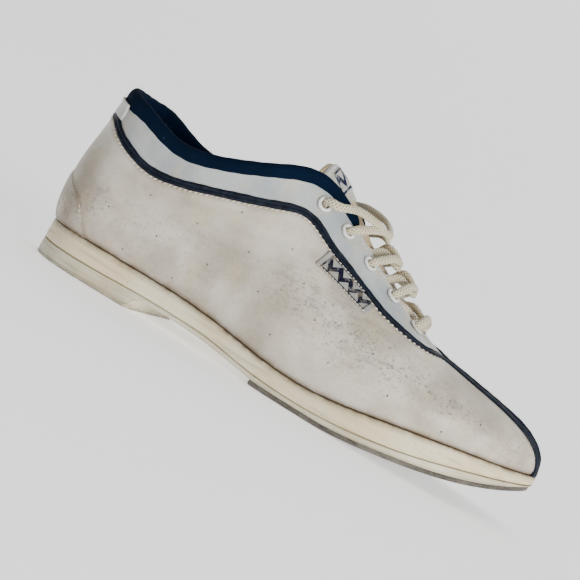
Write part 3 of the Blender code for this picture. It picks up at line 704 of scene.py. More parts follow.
def leather_wear_and_shade(t, v):
    """Dirt at the feather, beside the piping and along the counter; dirt and painted shade over the heel and
    the back; and where the shoe is scuffed (both 0 to 1).
    """
    point = wall_point(t, v)
    height = point[..., 2] - smooth_line(FEATHER_LINE, point[..., 0])
    turned = (t + STATIONS / 2) % STATIONS - STATIONS / 2
    seam = from_piping(t, v)
    grime = 0.85 * np.exp(-(np.maximum(height - 0.6, 0) / 1.1) ** 1.2) + 0.2 * np.exp(-height / 12)
    grime += 0.3 * np.exp(-((seam + 2.9) / 1.0) ** 2)
    # Painted shade with some dirt over the heel, up to the counter's height.
    heel = np.exp(-(np.abs(turned) / 1.7) ** 4) * np.exp(-(v / 0.42) ** 4)
    scuffed = SCUFFED_EVERYWHERE + sum(much * np.exp(-((turned - a) / wide) ** 2 - ((v - b) / tall) ** 2)
                                       for a, b, wide, tall, much in SCUFFS)
    counter = wall_line([(-2.07, 0.0), (-1.6, 0.21), (-1.15, 0.33), (0.0, 0.415), (1.15, 0.33), (1.6, 0.21),
                         (2.07, 0.0)], 1.0)
    gap, _ = nearest(point, wall_point(counter[:, 0], counter[:, 1]))
    grime += COUNTER_GRIME * np.exp(-(gap / 1.1) ** 2)
    # Painted shade with some dirt over the whole back of the shoe.
    grime += BACK_GRIME_AND_SHADE * np.exp(-(turned / 3.4) ** 2)
    return np.clip(grime + HEEL_GRIME_AND_SHADE * heel, 0, 0.95), np.clip(scuffed, 0, 1), seam


# %% The upper
LEATHER_THICKNESS = 1.35
AROUND, UPWARD = 420, 84


def skin(t, v, lift=0.0):
    """The leather's face with its relief, and anything that lies a given distance above it."""
    point, normal, _ = wall_frame(t, v)
    return point + normal * (leather_relief(t, v) + lift)[..., None]


def make_leather():
    """Rows from the feather to the opening, each a closed ring; the wall grows inwards by Solidify."""
    t = np.arange(AROUND) * STATIONS / AROUND
    v = np.linspace(0, 1, UPWARD + 1)
    t, v = np.meshgrid(t, v)
    faces, corners = grid_faces(UPWARD + 1, AROUND, True)
    made = make_mesh("upper_leather", skin(t, v).reshape(-1, 3), faces, corners, (1.6, 1.1))
    if np.dot(made.data.polygons[0].normal, wall_frame(0.0, 0.0)[1]) < 0:
        made.data.flip_normals()
    grime, scuffed, seam = leather_wear_and_shade(t, v)
    store(made, grime=grime, scuffed=scuffed, upper_panel=np.clip(seam / 2 + 0.5, 0, 1))
    thick = made.modifiers.new("wall", "SOLIDIFY")
    thick.thickness = LEATHER_THICKNESS * MM
    thick.offset = -1.0
    thick.use_even_offset = True
    return made


leather = make_leather()

# %% [markdown]
# ## Holes in the leather
# Five pairs of eyelets go through both facings, and rows of tiny holes let the foot breathe. Holes could be
# painted on, but punched ones catch light and shade at any distance. All the punches are one mesh, so one
# Boolean cuts them together.

# %% Seats of the eyelets and the tiny holes
EYELET_ROWS = [(54.0, 11.0, 13.0), (36.0, 10.0, 11.5), (18.0, 9.5, 10.5), (0.5, 9.0, 10.0), (-16.0, 8.5, 9.0)]
AIR_HOLES = [(2.23, 0.327), (3.34, 0.313), (4.35, 0.29), (5.36, 0.303), (6.43, 0.333), (7.59, 0.347),
             (2.89, 0.573), (3.93, 0.527), (5.0, 0.483), (6.1, 0.467), (2.88, 0.087), (3.88, 0.083),
             (5.79, 0.137), (6.84, 0.173), (7.99, 0.157), (9.05, 0.08), (4.66, 0.703), (5.75, 0.597),
             (9.81, 0.297)]


def eyelet_seats():
    """Station and v of each eyelet, from the toe end: where a line below the opening passes each x."""
    seats = {}
    for side, sign, column in (("lateral", 1, 1), ("medial", -1, 2)):
        for row, spec in enumerate(EYELET_ROWS, 1):
            t = sign * np.linspace(5.0, 11.0, 121)
            v = below_edge(t, spec[column])
            place = float(np.interp(spec[0], wall_point(t, v)[:, 0], t))
            seats[f"eyelet_{side}_{row}"] = (place, float(below_edge(place, spec[column])[0]))
    return seats


def punch(t, v, radius, depth, sides):
    """Points and faces of one punch: a ring above the leather and a ring at the given depth below it."""
    point, normal, upward = wall_frame(np.array(t), np.array(v))
    across = np.cross(upward, normal)
    turn = np.arange(sides) * 2 * np.pi / sides
    ring = radius * (np.cos(turn)[:, None] * upward + np.sin(turn)[:, None] * across)
    points = np.concatenate([point + 3 * normal + ring, point - depth * normal + ring])
    i = np.arange(sides)
    j = (i + 1) % sides
    return points, [list(i), list(i[::-1] + sides)] + np.stack([i, i + sides, j + sides, j], 1).tolist()


def cut_holes(made, places):
    """One exact Boolean with all the punches, and a crease wherever faces then meet at a sharp angle."""
    mesh = bpy.data.meshes.new("punches")
    points, faces = [], []
    for t, v, radius, depth, sides in places:
        ring, walls = punch(t, v, radius, depth, sides)
        first = len(points)
        points += (ring * MM).tolist()
        faces += [[k + first for k in wall] for wall in walls]
    mesh.from_pydata(points, [], faces)
    work = bmesh.new()
    work.from_mesh(mesh)
    bmesh.ops.recalc_face_normals(work, faces=work.faces)
    work.to_mesh(mesh)
    work.free()
    punches = bpy.data.objects.new("punches", mesh)
    bpy.context.scene.collection.objects.link(punches)
    cut = made.modifiers.new("holes", "BOOLEAN")
    cut.operation = "DIFFERENCE"
    cut.solver = "EXACT"
    cut.object = punches
    settle(made)
    bpy.data.objects.remove(punches, do_unlink=True)
    made.data.shade_smooth()
    made.data.set_sharp_from_angle(angle=np.radians(42))


SEATS = eyelet_seats()
holes = [(t, v, 2.9, 3.0, 20) for t, v in SEATS.values()]  # and radius, depth and sides of each punch
holes += [(sign * t, v, 0.55, 0.9, 7) for t, v in AIR_HOLES for sign in (1, -1)]
cut_holes(leather, holes)
finished(leather, LEATHER, "white_leather", "upper")

# %% [markdown]
# ## Lining
# Inside, navy knit is glued to the leather and runs from the binding to the insole. It is a second, thinner
# shell, just inside the first, so the eyelet holes show dark cloth edges and not bare leather.

# %% The lining
def make_lining():
    """The leather's face again, set in by its thickness, from the insole to just below the opening."""
    t, v = np.meshgrid(np.arange(240) * STATIONS / 240, np.linspace(0.0, 0.985, 48))
    _, normal, _ = wall_frame(t, v)
    outer = skin(t, v, -LEATHER_THICKNESS - 0.14)
    slub = 0.12 * np.sin(outer[..., 0] / 3.1) * np.sin(outer[..., 2] / 2.7)
    inner = outer - normal * (WALL - LEATHER_THICKNESS - 0.1 + slub)[..., None]
    points, faces, corners = shell(outer, inner, True)
    made = make_mesh("upper_lining", points, faces, corners, (2.7, 1.9))
    cut_holes(made, [(a, b, 3.0, 4.0, 16) for a, b in SEATS.values()])
    return made


finished(make_lining(), NAVY_CLOTH, "navy_binding")

# %% [markdown]
# ## Piping
# The piping is a strip of navy vinyl, folded and caught in the seam, so its section is two low ridges with a
# valley between them. A profile carried along the piping line gives exactly that, and its ends tuck under
# the feather at the toe.

# %% The piping
PIPING_SECTION = np.array([(-2.2, -0.5), (-2.25, 0.25), (-1.95, 0.95), (-1.3, 1.4), (-0.65, 1.35),
                           (-0.2, 1.05), (0.2, 1.05), (0.65, 1.4), (1.3, 1.5), (1.95, 1.05), (2.25, 0.25),
                           (2.2, -0.5)])


def carried(path, across, normal, section, scale):
    """A section carried along a path: path + across times its first number + normal times its second."""
    sides = section[None] * scale[:, None, None]
    return path[:, None] + sides[..., :1] * across[:, None] + sides[..., 1:] * normal[:, None]


def run_mesh(name, rings, cell):
    """Rings in a row as an object, with a flat face on each end that takes one point of the UV map."""
    count, sides = rings.shape[:2]
    faces, corners = grid_faces(count, sides, True)
    ends = [list(range(sides)), list(range((count - 1) * sides, count * sides))]
    flat = np.concatenate([corners.reshape(-1, 2), np.zeros((2 * sides, 2))])
    return make_mesh(name, rings.reshape(-1, 3), faces.tolist() + ends, flat, cell)


def piping_frame(first=0, last=None):
    """Places along the piping line, their points and normals, and the direction across it, up at the heel."""
    t, v = PIPING[first:last].T
    point, normal, _ = wall_frame(t, v)
    across = unit(np.cross(unit(np.gradient(point, axis=0)), normal))
    return t, v, point, normal, across * np.sign(across[len(across) // 2, 2])


def make_piping():
    """The section carried along the piping line, with small swellings where the needle has pulled it in."""
    t, v, _, normal, across = piping_frame()
    steps = np.arange(len(t))
    size = 1 + 0.05 * np.sin(steps / 5.1) + 0.03 * np.sin(steps / 1.7)
    rings = carried(skin(t, v, 0.25), across, normal, PIPING_SECTION * (0.96, 1.0), size)
    made = run_mesh("piping", rings, (1.0, 0.7))
    crest = np.clip((PIPING_SECTION[:, 1] - 0.9) / 0.5, 0, 1)
    store(made, crest=np.tile(crest, len(t)))
    return made


finished(make_piping(), PIPING_VINYL, "navy_binding")

# %% [markdown]
# ## Collar binding
# The collar's edge is a padded roll of the same navy knit. It is turned over the leather, thick on top and
# thinning to a glued edge inside. Its foam is too thin for a pressure simulation to add anything, so the soft
# form is in the section itself, and small puckers run round it as they do where cloth is pulled over an edge.

# %% The collar binding
ROLL_END = 7.05
ROLL_DRAWN_DOWN = 0.3  # share of its height
BINDING_SECTION = [(1.15, -2.6), (2.1, -1.5), (2.95, 1.0), (3.2, 3.6), (2.5, 6.2), (0.4, 7.5),
                   (-1.9, 6.9), (-3.3, 4.6), (-3.5, 1.2), (-3.0, -3.0), (-2.3, -7.0), (-1.5, -8.2),
                   (-0.7, -5.5), (0.1, -3.0)]


def make_binding():
    """Section round a smooth closed loop, carried along the opening and drawn in at both ends. It stands full
    at the heel, and everything above the leather's edge is pressed lower along the sides."""
    t = np.linspace(-ROLL_END, ROLL_END, 520)
    _, normal, upward = wall_frame(t, np.full(t.shape, 0.985))
    edge = wall_point(t, np.ones(t.shape)) - normal * WALL / 2
    turn = np.linspace(0, len(BINDING_SECTION), 36, endpoint=False)
    section = smooth_loop(BINDING_SECTION, turn)
    steps = np.arange(len(t))
    pucker = 1 + 0.018 * np.sin(steps / 2.3) + 0.014 * np.sin(steps / 5.9) + 0.02 * np.sin(steps / 17.0)
    ends = np.clip(np.minimum(steps, steps[::-1]) / 7.0, 0, 1)
    size = pucker * (0.35 + 0.65 * np.sqrt(ends * (2 - ends)))
    middle = np.array([0.0, 2.0])
    rings = carried(edge + upward * middle[1], normal, upward, section - middle, size)
    rise = ((rings - edge[:, None]) * upward[:, None]).sum(-1, keepdims=True)
    flatter = ROLL_DRAWN_DOWN * (1 - np.exp(-(t / 1.7) ** 4))
    rings = rings - upward[:, None] * np.maximum(rise, 0) * flatter[:, None, None]
    return run_mesh("collar_binding", rings, (0.75, 1.1))


binding = finished(make_binding(), NAVY_CLOTH, "navy_binding", "collar_roll")

# %% [markdown]
# ## Overlays
# Three thin pieces lie on the leather: the counter that stiffens the heel, a tab over the back seam, and a
# woven tag sewn beside the piping. Each is a patch of the wall function, lifted by its own thickness, with
# its edge rolled down on to the leather so that no gap shows.

# %% Counter and tab
COUNTER_LINE = [(-2.07, 0.0), (-1.82, 0.077), (-1.6, 0.21), (-1.15, 0.33), (-0.46, 0.403), (0.0, 0.415),
                (0.46, 0.403), (1.15, 0.33), (1.6, 0.21), (1.82, 0.077), (2.07, 0.0)]
COUNTER_LIFT = 0.55


def patch(name, t, v, lift, sink, cell):
    """A closed patch over the leather at a grid of places, its outer face lifted by a grid of heights."""
    points, faces, corners = shell(skin(t, v, lift), skin(t, v, -sink))
    return make_mesh(name, points, faces, corners, cell)


def rolled(rows, columns, edge_rows, edge_columns, lift, open_bottom=False):
    """Height over a grid: flat, then a quarter ellipse down to nothing within so many steps of an edge."""
    i, j = np.meshgrid(np.arange(rows), np.arange(columns), indexing="ij")
    from_bottom = np.full(i.shape, 1e3) if open_bottom else i / edge_rows
    near = np.minimum(np.minimum(from_bottom, (rows - 1 - i) / edge_rows),
                      np.minimum(j, columns - 1 - j) / edge_columns)
    near = np.clip(near, 0, 1)
    return lift * np.sqrt(near * (2 - near))


def make_counter():
    """Rows from the feather up to the counter's curved top line, closer together towards that line."""
    t = np.linspace(-2.03, 2.03, 150)
    top = np.maximum(smooth_line(COUNTER_LINE, t), 0.012)
    share = 1 - (1 - np.linspace(0, 1, 56)) ** 1.4
    t, rise = np.meshgrid(t, share)
    v = rise * top[None, :]
    made = patch("heel_counter", t, v, rolled(56, 150, 7, 3, COUNTER_LIFT, True), 0.35, (0.9, 0.8))
    grime, scuffed, _ = leather_wear_and_shade(t, v)
    store(made, grime=np.tile(grime.ravel(), 2), scuffed=np.tile(scuffed.ravel(), 2), upper_panel=0.0)
    return made


TAB_HALF_WIDTH = 1.08  # stations
TAB_LOW, TAB_HIGH = -9.6, -0.8  # millimetres from the opening's edge
TAB_LIFT = [(-12.0, 0.5), (-6.0, 0.95), (-2.6, 1.7), (0.0, 2.9), (2.4, 3.3), (4.4, 3.0), (6.0, 2.2)]


def collar_place(t, rise):
    """Point and normal on the wall at heights below the opening's edge, given as negative rises. Near the
    edge the normal goes over to the edge's own, so that it keeps steady."""
    low = np.stack([below_edge(t, -one) for one in rise])
    point, normal, _ = wall_frame(t[None], low)
    _, edge_normal, _ = wall_frame(t, np.full(t.shape, 0.985))
    steady = np.clip((rise + 4) / 4, 0, 1)[:, None, None]
    return point, unit(normal * (1 - steady) + edge_normal * steady)


def make_tab():
    """A strap of leather over the back seam, from the piping's peak up to the binding's lower edge."""
    t, share = np.linspace(-TAB_HALF_WIDTH, TAB_HALF_WIDTH, 90), np.linspace(0, 1, 46)
    rise = TAB_LOW + (TAB_HIGH - TAB_LOW) * share
    point, normal = collar_place(t, rise)
    lift = smooth_line(TAB_LIFT, rise)[:, None] + 0 * t[None]
    edge = rolled(46, 90, 3, 4, 1.0)
    outer = point + normal * (lift + 0.9 * edge - 0.3)[..., None]
    inner = point + normal * (lift - 0.9)[..., None]
    points, faces, corners = shell(outer, inner)
    made = make_mesh("heel_tab", points, faces, corners, (0.45, 0.33))
    store(made, grime=0.1, scuffed=0.25, upper_panel=0.7)
    return made


finished(make_counter(), LEATHER, "white_leather")
finished(make_tab(), LEATHER, "white_leather")

# %% The woven tag
TAG_CORNERS = np.array([[(6.2, 0.592), (7.36, 0.535)], [(6.44, 0.7), (7.66, 0.652)]])  # (t, v), low row first


def label_finish(name, ground, ink, teeth, frames, thick):
    """A woven label: a framed zigzag, in ink thread on a pale ground, with loose worn patches."""
    f = Finish(name, Specular_IOR_Level=0.12)
    across, along = f.surface()
    at = f.place()
    side = f.sum("ABSOLUTE", f.sum("SUBTRACT", along, 0.5))
    end = f.sum("ABSOLUTE", f.sum("SUBTRACT", across, 0.5))
    tooth = f.sum("PINGPONG", f.times(across, teeth), 0.5)
    line = f.sum("ABSOLUTE", f.sum("SUBTRACT", along, f.sum("ADD", 0.3, f.times(tooth, 0.8))))
    inside = f.times(f.band(side, frames[1], frames[1] - 0.02), f.band(end, frames[0], frames[0] - 0.01))
    outside = f.times(f.band(side, frames[1] + 0.09, frames[1] + 0.07),
                      f.band(end, frames[0] + 0.03, frames[0] + 0.02))
    border = f.times(outside, f.sum("SUBTRACT", 1.0, inside))
    drawn = f.sum("MAXIMUM", f.times(f.band(line, thick, thick - 0.03), inside), border)
    worn = f.band(f.noise(at, 260, 5, 0.7), 0.62, 0.48)
    drawn = f.times(drawn, f.band(worn, 0.0, 1.0, 0.6, 1.0))
    cloth = f.mix(f.band(f.noise(at, 90, 4), 0.4, 0.7), ground, tuple(0.7 * c for c in ground))
    colour = f.mix(drawn, cloth, ink)
    colour = f.mix(f.times(f.band(f.noise(at, 140, 4), 0.5, 0.72), 0.5), colour, paint(150, 134, 106))
    height = f.sum("ADD", f.noise(f.stretched((2400, 2400, 900)), 1.0, 2), f.times(drawn, 0.8))
    return f.done(colour, 0.8, f.bump(height, 0.16, 0.6))


def make_tag():
    """A bilinear patch between four places on the wall, with one corner that has come away a little."""
    b, a = np.meshgrid(np.linspace(0, 1, 34), np.linspace(0, 1, 100), indexing="ij")
    place = ((1 - b)[..., None] * ((1 - a)[..., None] * TAG_CORNERS[0, 0] + a[..., None] * TAG_CORNERS[0, 1])
             + b[..., None] * ((1 - a)[..., None] * TAG_CORNERS[1, 0] + a[..., None] * TAG_CORNERS[1, 1]))
    lift = rolled(34, 100, 2, 2, 0.75) + 0.9 * np.exp(-((a / 0.12) ** 2 + ((1 - b) / 0.4) ** 2))
    lift = lift + 0.08 * np.sin(a * 31) * np.sin(b * 9)
    return patch("side_tag", place[..., 0], place[..., 1], lift, 0.3, (1000 / 99, 1000 / 33))


TAG_CLOTH = label_finish("woven_side_tag", paint(150, 150, 146), paint(14, 18, 36), 5.0, (0.4, 0.36), 0.2)
finished(make_tag(), TAG_CLOTH, "tongue_cloth")

# %% [markdown]
# ## The sole
# The sole is a sandwich: a cream midsole, a pale outsole whose back is the heel block, and a dark slide sole
# under the forefoot. Each layer lies between two height functions and inside the same rim, so one function
# makes them all: its side is a profile carried round the rim, and its faces are lines ruled across.

# %% Heights of the sole
LAYER_LINE = [(-145, 8.4), (-100, 8.8), (-75, 9.6), (-50, 9.6), (-31, 8.8), (-13, 6.6), (14, 4.9),
              (40, 5.6), (64, 8.2), (87, 12.0), (110, 17.2), (133, 22.4), (145, 25.4)]
SHANK_LINE = [(-80, 8.0), (-53, 7.3), (-33, 6.4), (-19, 5.0), (-4, 3.2)]
TREAD_LINE = [(-4, 0.3), (6, 0.0), (38, 0.0), (53, 1.1), (74, 3.7), (96, 7.1), (118, 12.2), (133, 17.2),
              (145, 22.2)]
HEEL_BREAST, BREAST_SKEW, BREAST_DEPTH, OUTER_HEEL_Y, HEEL_WIDTH = -78.0, 0.2, 8.5, -29.5, 64.0
ARCH_END = 20.0  # where the rows across the sole are straight again
SLIDE_START, SLIDE_THICKNESS = -4.0, 2.5


def feather_height(x, y):
    return smooth_line(FEATHER_LINE, x)


def layer_height(x, y):
    return smooth_line(LAYER_LINE, x)


def tread_height(x, y):
    return np.maximum(smooth_line(TREAD_LINE, x), 0.0)


def outsole_bottom(x, y):
    """Flat heel, a hollow front face (a quarter ellipse), the shank, and then the top of the slide sole."""
    along = np.clip((x - HEEL_BREAST - BREAST_SKEW * (y - OUTER_HEEL_Y)) / BREAST_DEPTH, 0, 1)
    shank = np.sqrt(along * (2 - along)) * smooth_line(SHANK_LINE, x)
    return np.where(x < SLIDE_START - 0.5, shank, tread_height(x, y) + SLIDE_THICKNESS + 0.15)


# %% Layers of the sole
def at_x(values, inner_side):
    """Stations where the rim passes each x, on the outer or the inner side."""
    dense = np.linspace(0, TOE_STATION, 2401)
    x = rim(STATIONS - dense if inner_side else dense)[0][:, 0]
    return np.interp(values, x, dense)


def cross_rows(x, skew=0.0):
    """Stations on both sides of the rows across the sole, skewed forward on the inner side by the arch."""
    heel = SOLE_PLAN[0][0]
    fade = np.minimum((x - heel) / (HEEL_BREAST - heel), (ARCH_END - x) / (ARCH_END - HEEL_BREAST))
    fade = np.clip(fade, 0, 1)
    return at_x(x, False), STATIONS - at_x(x + skew * fade, True)


def sole_layer(name, rows, top, bottom, profile, columns=30):
    """A closed layer. profile lists (outwards, share, rise): a loop of the side lies that far outside the rim
    and at top x (1 - share) + bottom x share + rise. Points that meet at the heel and toe are merged."""
    outer, inner = (np.asarray(side, float) for side in rows)
    across = np.linspace(0, 1, columns + 1)[None, :, None]
    pointed = outer[0] == 0.0

    def plan(outwards):
        one = rim(outer)[0] + rim(outer)[1] * outwards
        other = rim(inner)[0] + rim(inner)[1] * outwards
        grid = one[:, None] * (1 - across) + other[:, None] * across
        if not pointed:
            grid[0, :, 0] = rim(outer[:1])[0][0, 0] - outwards
        return grid

    def loop(grid):
        return np.concatenate([grid[:, 0], grid[-1, 1:-1], grid[::-1, -1], grid[0, ::-1][1:-1]])

    def raised(grid, share, rise):
        x, y = grid[..., 0], grid[..., 1]
        return np.concatenate([grid, (top(x, y) * (1 - share) + bottom(x, y) * share + rise)[..., None]], -1)

    lid, floor = raised(plan(profile[0][0]), *profile[0][1:]), raised(plan(profile[-1][0]), *profile[-1][1:])
    side = np.stack([raised(loop(plan(step[0])), *step[1:]) for step in profile])
    faces, corners = grid_faces(lid.shape[0], lid.shape[1])
    walls, wall_corners = grid_faces(side.shape[0], side.shape[1], True)
    count = lid.shape[0] * lid.shape[1]
    points = np.concatenate([lid.reshape(-1, 3), floor.reshape(-1, 3), side.reshape(-1, 3)])
    faces = np.concatenate([faces, faces[:, ::-1] + count, walls + 2 * count])
    corners = np.concatenate([corners, corners[:, ::-1], wall_corners])
    return make_mesh(name, points, faces, corners, (2.0, 1.3), merge=0.002, sharp=50)


def darken_near_height(made, height, reach, much):
    """Stores a darkening that fades away from a height function, over so many millimetres."""
    x, y, z = places_of(made).T
    store(made, grime=much * np.exp(-(np.abs(z - height(x, y)) / reach) ** 1.3))


def even_rows(count, start=SOLE_PLAN[0][0]):
    """x of rows across the sole, closer together towards the heel and the toe."""
    end = SOLE_PLAN[-1][0]
    if start > SOLE_PLAN[0][0]:
        return start + (end - start) * np.sin(np.linspace(0, np.pi / 2, count))
    return start + (end - start) * (1 - np.cos(np.linspace(0, np.pi, count))) / 2


MIDSOLE_PROFILE = [(-1.7, 0, 0.05), (-0.9, 0, 0.1), (-0.3, 0, -0.15), (0.0, 0, -0.7), (0.12, 0.3, 0),
                   (0.15, 0.6, 0), (0.08, 0.85, 0), (-0.05, 0.93, 0), (-0.45, 0.955, 0),
                   (-0.45, 0.975, 0), (0.0, 1, 0.25), (-0.5, 1, 0.1)]
OUTSOLE_PROFILE = [(-0.5, 0, -0.05), (0.0, 0, -0.35), (0.1, 0.3, 0), (0.08, 0.62, 0), (0.02, 0.74, 0),
                   (-0.35, 0.78, 0), (-0.35, 0.81, 0), (0.05, 0.85, 0), (0.0, 1, 0.5), (-0.25, 1, 0.12),
                   (-0.8, 1, 0)]
SLIDE_PROFILE = [(-1.4, 0, 0), (-0.95, 0, -0.2), (-0.8, 0.3, 0), (-0.85, 0.75, 0), (-1.2, 1, 0.15),
                 (-1.8, 1, 0)]

midsole = sole_layer("midsole_rubber", cross_rows(even_rows(200)), feather_height,
                     lambda x, y: layer_height(x, y) + 0.15, MIDSOLE_PROFILE)
darken_near_height(midsole, feather_height, 1.3, 0.9)
finished(midsole, CREAM_RUBBER, "cream_rubber", "midsole")

breast = HEEL_BREAST + BREAST_DEPTH * np.linspace(0, 1, 12) ** 1.5
kept = [x for x in even_rows(200) if not HEEL_BREAST - 0.7 < x < HEEL_BREAST + BREAST_DEPTH + 0.7]
outsole_rows = cross_rows(np.sort(np.concatenate([kept, breast])), BREAST_SKEW * HEEL_WIDTH)
outsole = sole_layer("outsole_rubber", outsole_rows, layer_height, outsole_bottom, OUTSOLE_PROFILE)
# The outsole is darker towards its bottom edge, within a millimetre or two of the floor.
darken_near_height(outsole, lambda x, y: np.zeros_like(x), 1.6, 0.95)
finished(outsole, PALE_RUBBER, "pale_rubber", "outsole")

slide = sole_layer("slide_sole_suede", cross_rows(even_rows(120, SLIDE_START)),
                   lambda x, y: tread_height(x, y) + SLIDE_THICKNESS, tread_height, SLIDE_PROFILE)
finished(slide, SUEDE, "slide_suede", "slide_sole")

# %% [markdown]
# ## Insole
# A thin cloth-covered insole lies on the midsole. Feet press it: the heel and the ball are a little hollow,
# and its edge turns up along the wall. The two dark worn dots in the heel are part of its finish.

# %% The insole
INSOLE_TOP = 3.3
INSOLE_DENTS = [(-104.0, 4.0, 24.0, 17.0, 1.1), (48.0, 2.0, 30.0, 30.0, 0.9), (100.0, 8.0, 18.0, 22.0, 0.5)]


def insole_height(x, y):
    """The feather line and a thickness, less a bell-shaped dent under the heel, the ball and the toes."""
    dents = sum(deep * np.exp(-((x - a) / long) ** 2 - ((y - b) / wide) ** 2)
                for a, b, long, wide, deep in INSOLE_DENTS)
    return feather_height(x, y) + INSOLE_TOP - dents


INSOLE_PROFILE = [(-7.5, 0, 0.0), (-5.6, 0, 0.35), (-4.9, 0, 0.5), (-4.4, 0, 0.2), (-4.4, 1, 0.5),
                  (-4.9, 1, 0.2), (-7.5, 1, 0.2)]
insole = sole_layer("insole_sock", cross_rows(even_rows(150)), insole_height, feather_height, INSOLE_PROFILE,
                    columns=44)
finished(insole, INSOLE_CLOTH, "insole_cloth", "insole")

# %% [markdown]
# ## Tongue
# The tongue is a padded strip of beige duck, sewn in under the vamp, with a leather panel at its tip that
# carries a small framed label. Its space between the facings is too tight for a free pressure simulation, so
# the pad's swell, the rolled edge and the dents under the laces are formulas over the CAD tongue's surface.

# %% The tongue's pad
TONGUE_LINE = [(74, 48.5), (66, 53.0), (58, 58.8), (38, 73.6), (18, 86.6), (2, 98.2), (-13, 110.2),
               (-27, 117.5)]
TONGUE_CENTRE = [(74, 4.5), (38, 3.0), (2, 0.5), (-27, -3.0)]
TONGUE_HALF_WIDTH = [(74, 14), (54, 17), (18, 20), (-2, 18), (-13, 16.5), (-27, 18.5)]
TONGUE_CROWN = [(74, 3), (54, 7), (18, 13), (-2, 14), (-13, 11.5), (-27, 6)]
TONGUE_THICKNESS = 3.6


def tongue_surface(s, across):
    """The tongue's outer face: s from foot to tip, across from -1 (outer side) to 1, crowned between."""
    line = np.array(TONGUE_LINE, float)
    x = smooth_line(np.stack([np.linspace(0, 1, len(line)), line[:, 0]], 1), s)
    drop = smooth_line(TONGUE_CROWN, x) * across ** 2
    middle, half = smooth_line(TONGUE_CENTRE, x), smooth_line(TONGUE_HALF_WIDTH, x)
    return np.stack([x, middle + across * half, smooth_line(TONGUE_LINE, x) - drop], -1)


def tongue_frame(s, across):
    """Point, normal and direction along the tongue's outer face."""
    along = unit(tongue_surface(s + 0.004, across) - tongue_surface(s - 0.004, across))
    side = tongue_surface(s, across + 0.01) - tongue_surface(s, across - 0.01)
    normal = unit(np.cross(side, along))
    return tongue_surface(s, across), normal * np.sign(normal[..., 2:]), along


def tongue_height(x, y):
    """Height of the tongue's outer face over a place in plan."""
    across = (y - smooth_line(TONGUE_CENTRE, x)) / smooth_line(TONGUE_HALF_WIDTH, x)
    return smooth_line(TONGUE_LINE, x) - smooth_line(TONGUE_CROWN, x) * across ** 2


LACE_CROSSINGS = [(56.0, 3.2, 68.8), (42.5, 2.8, 81.0), (29.0, 2.0, 88.8), (17.5, 0.0, 98.5)]


def make_tongue():
    """Two faces a thickness apart that close in a half circle at the edge, swollen between the laces."""
    s, a = np.meshgrid(np.linspace(0, 1, 150), np.linspace(-1, 1, 72), indexing="ij")
    point, normal, _ = tongue_frame(s, a)
    round_sides, round_ends = 1 - np.abs(a) ** 6, 1 - np.abs(2 * s - 1) ** 24
    round_edge = np.sqrt(np.clip(round_sides, 0, 1)) * np.sqrt(np.clip(round_ends, 0, 1))
    x = point[..., 0]
    dents = sum(np.exp(-((x - crossing[0]) / 4.2) ** 2) for crossing in LACE_CROSSINGS)
    swell = (0.35 - 0.75 * dents) * np.cos(a * np.pi / 2) + 0.12 * np.sin(x / 2.9 + 2 * a) * np.cos(a * 5)
    half = TONGUE_THICKNESS / 2
    outer = point + normal * ((round_edge - 1) * half + swell * round_edge)[..., None]
    inner = point - normal * (half + round_edge * (half - 0.1))[..., None]
    points, faces, corners = shell(outer, inner)
    return make_mesh("tongue_pad", points, faces, corners, (0.5, 0.8), merge=0.001)


tongue = finished(make_tongue(), TONGUE_CLOTH, "tongue_cloth", "tongue")

# %% Its leather tip and label
PANEL_START, PANEL_END = 0.8, 0.985
LABEL_START, LABEL_END, LABEL_SIDE = 0.845, 0.962, 0.8


def tongue_patch(name, start, end, side, low, high, cell, rows=44, columns=96, edge=3):
    """A thin closed patch over part of the tongue's face, from one height above it to another."""
    s, a = np.meshgrid(np.linspace(start, end, rows), np.linspace(-side, side, columns), indexing="ij")
    point, normal, _ = tongue_frame(s, a)
    lift = low + rolled(rows, columns, edge, edge + 1, high - low)
    points, faces, corners = shell(point + normal * lift[..., None], point + normal * (low - 0.5))
    return make_mesh(name, points, faces, corners, cell)


panel = tongue_patch("tongue_leather_tip", PANEL_START, PANEL_END, 0.985, 0.1, 1.15, (0.35, 0.4))
store(panel, grime=0.06, scuffed=0.15, upper_panel=0.75)
finished(panel, LEATHER, "white_leather")
TONGUE_LABEL = label_finish("woven_tongue_label", paint(190, 192, 188), paint(16, 24, 56), 4.0, (0.42, 0.36),
                            0.17)
label = tongue_patch("tongue_label", LABEL_START, LABEL_END, LABEL_SIDE, 0.95, 1.65, (1000 / 95, 1000 / 43))
finished(label, TONGUE_LABEL, "tongue_cloth")

# %% [markdown]
# ## Eyelets
# An eyelet is a short enamelled tube with a rolled rim, clenched through the facing. It is a profile spun
# round the axis of its hole. Ten small spins, each from the wall's own frame, sit square on the leather.

# %% The eyelets
EYELET_SIDES = 48
EYELET_PROFILE = np.array([(2.3, -2.6), (2.3, 0.1), (2.38, 0.75), (2.65, 1.15), (3.05, 1.3), (3.5, 1.22),
                           (3.95, 0.98), (4.3, 0.62), (4.45, 0.25), (4.35, 0.0), (3.4, -0.02),
                           (2.75, -0.1), (2.7, -2.6)])


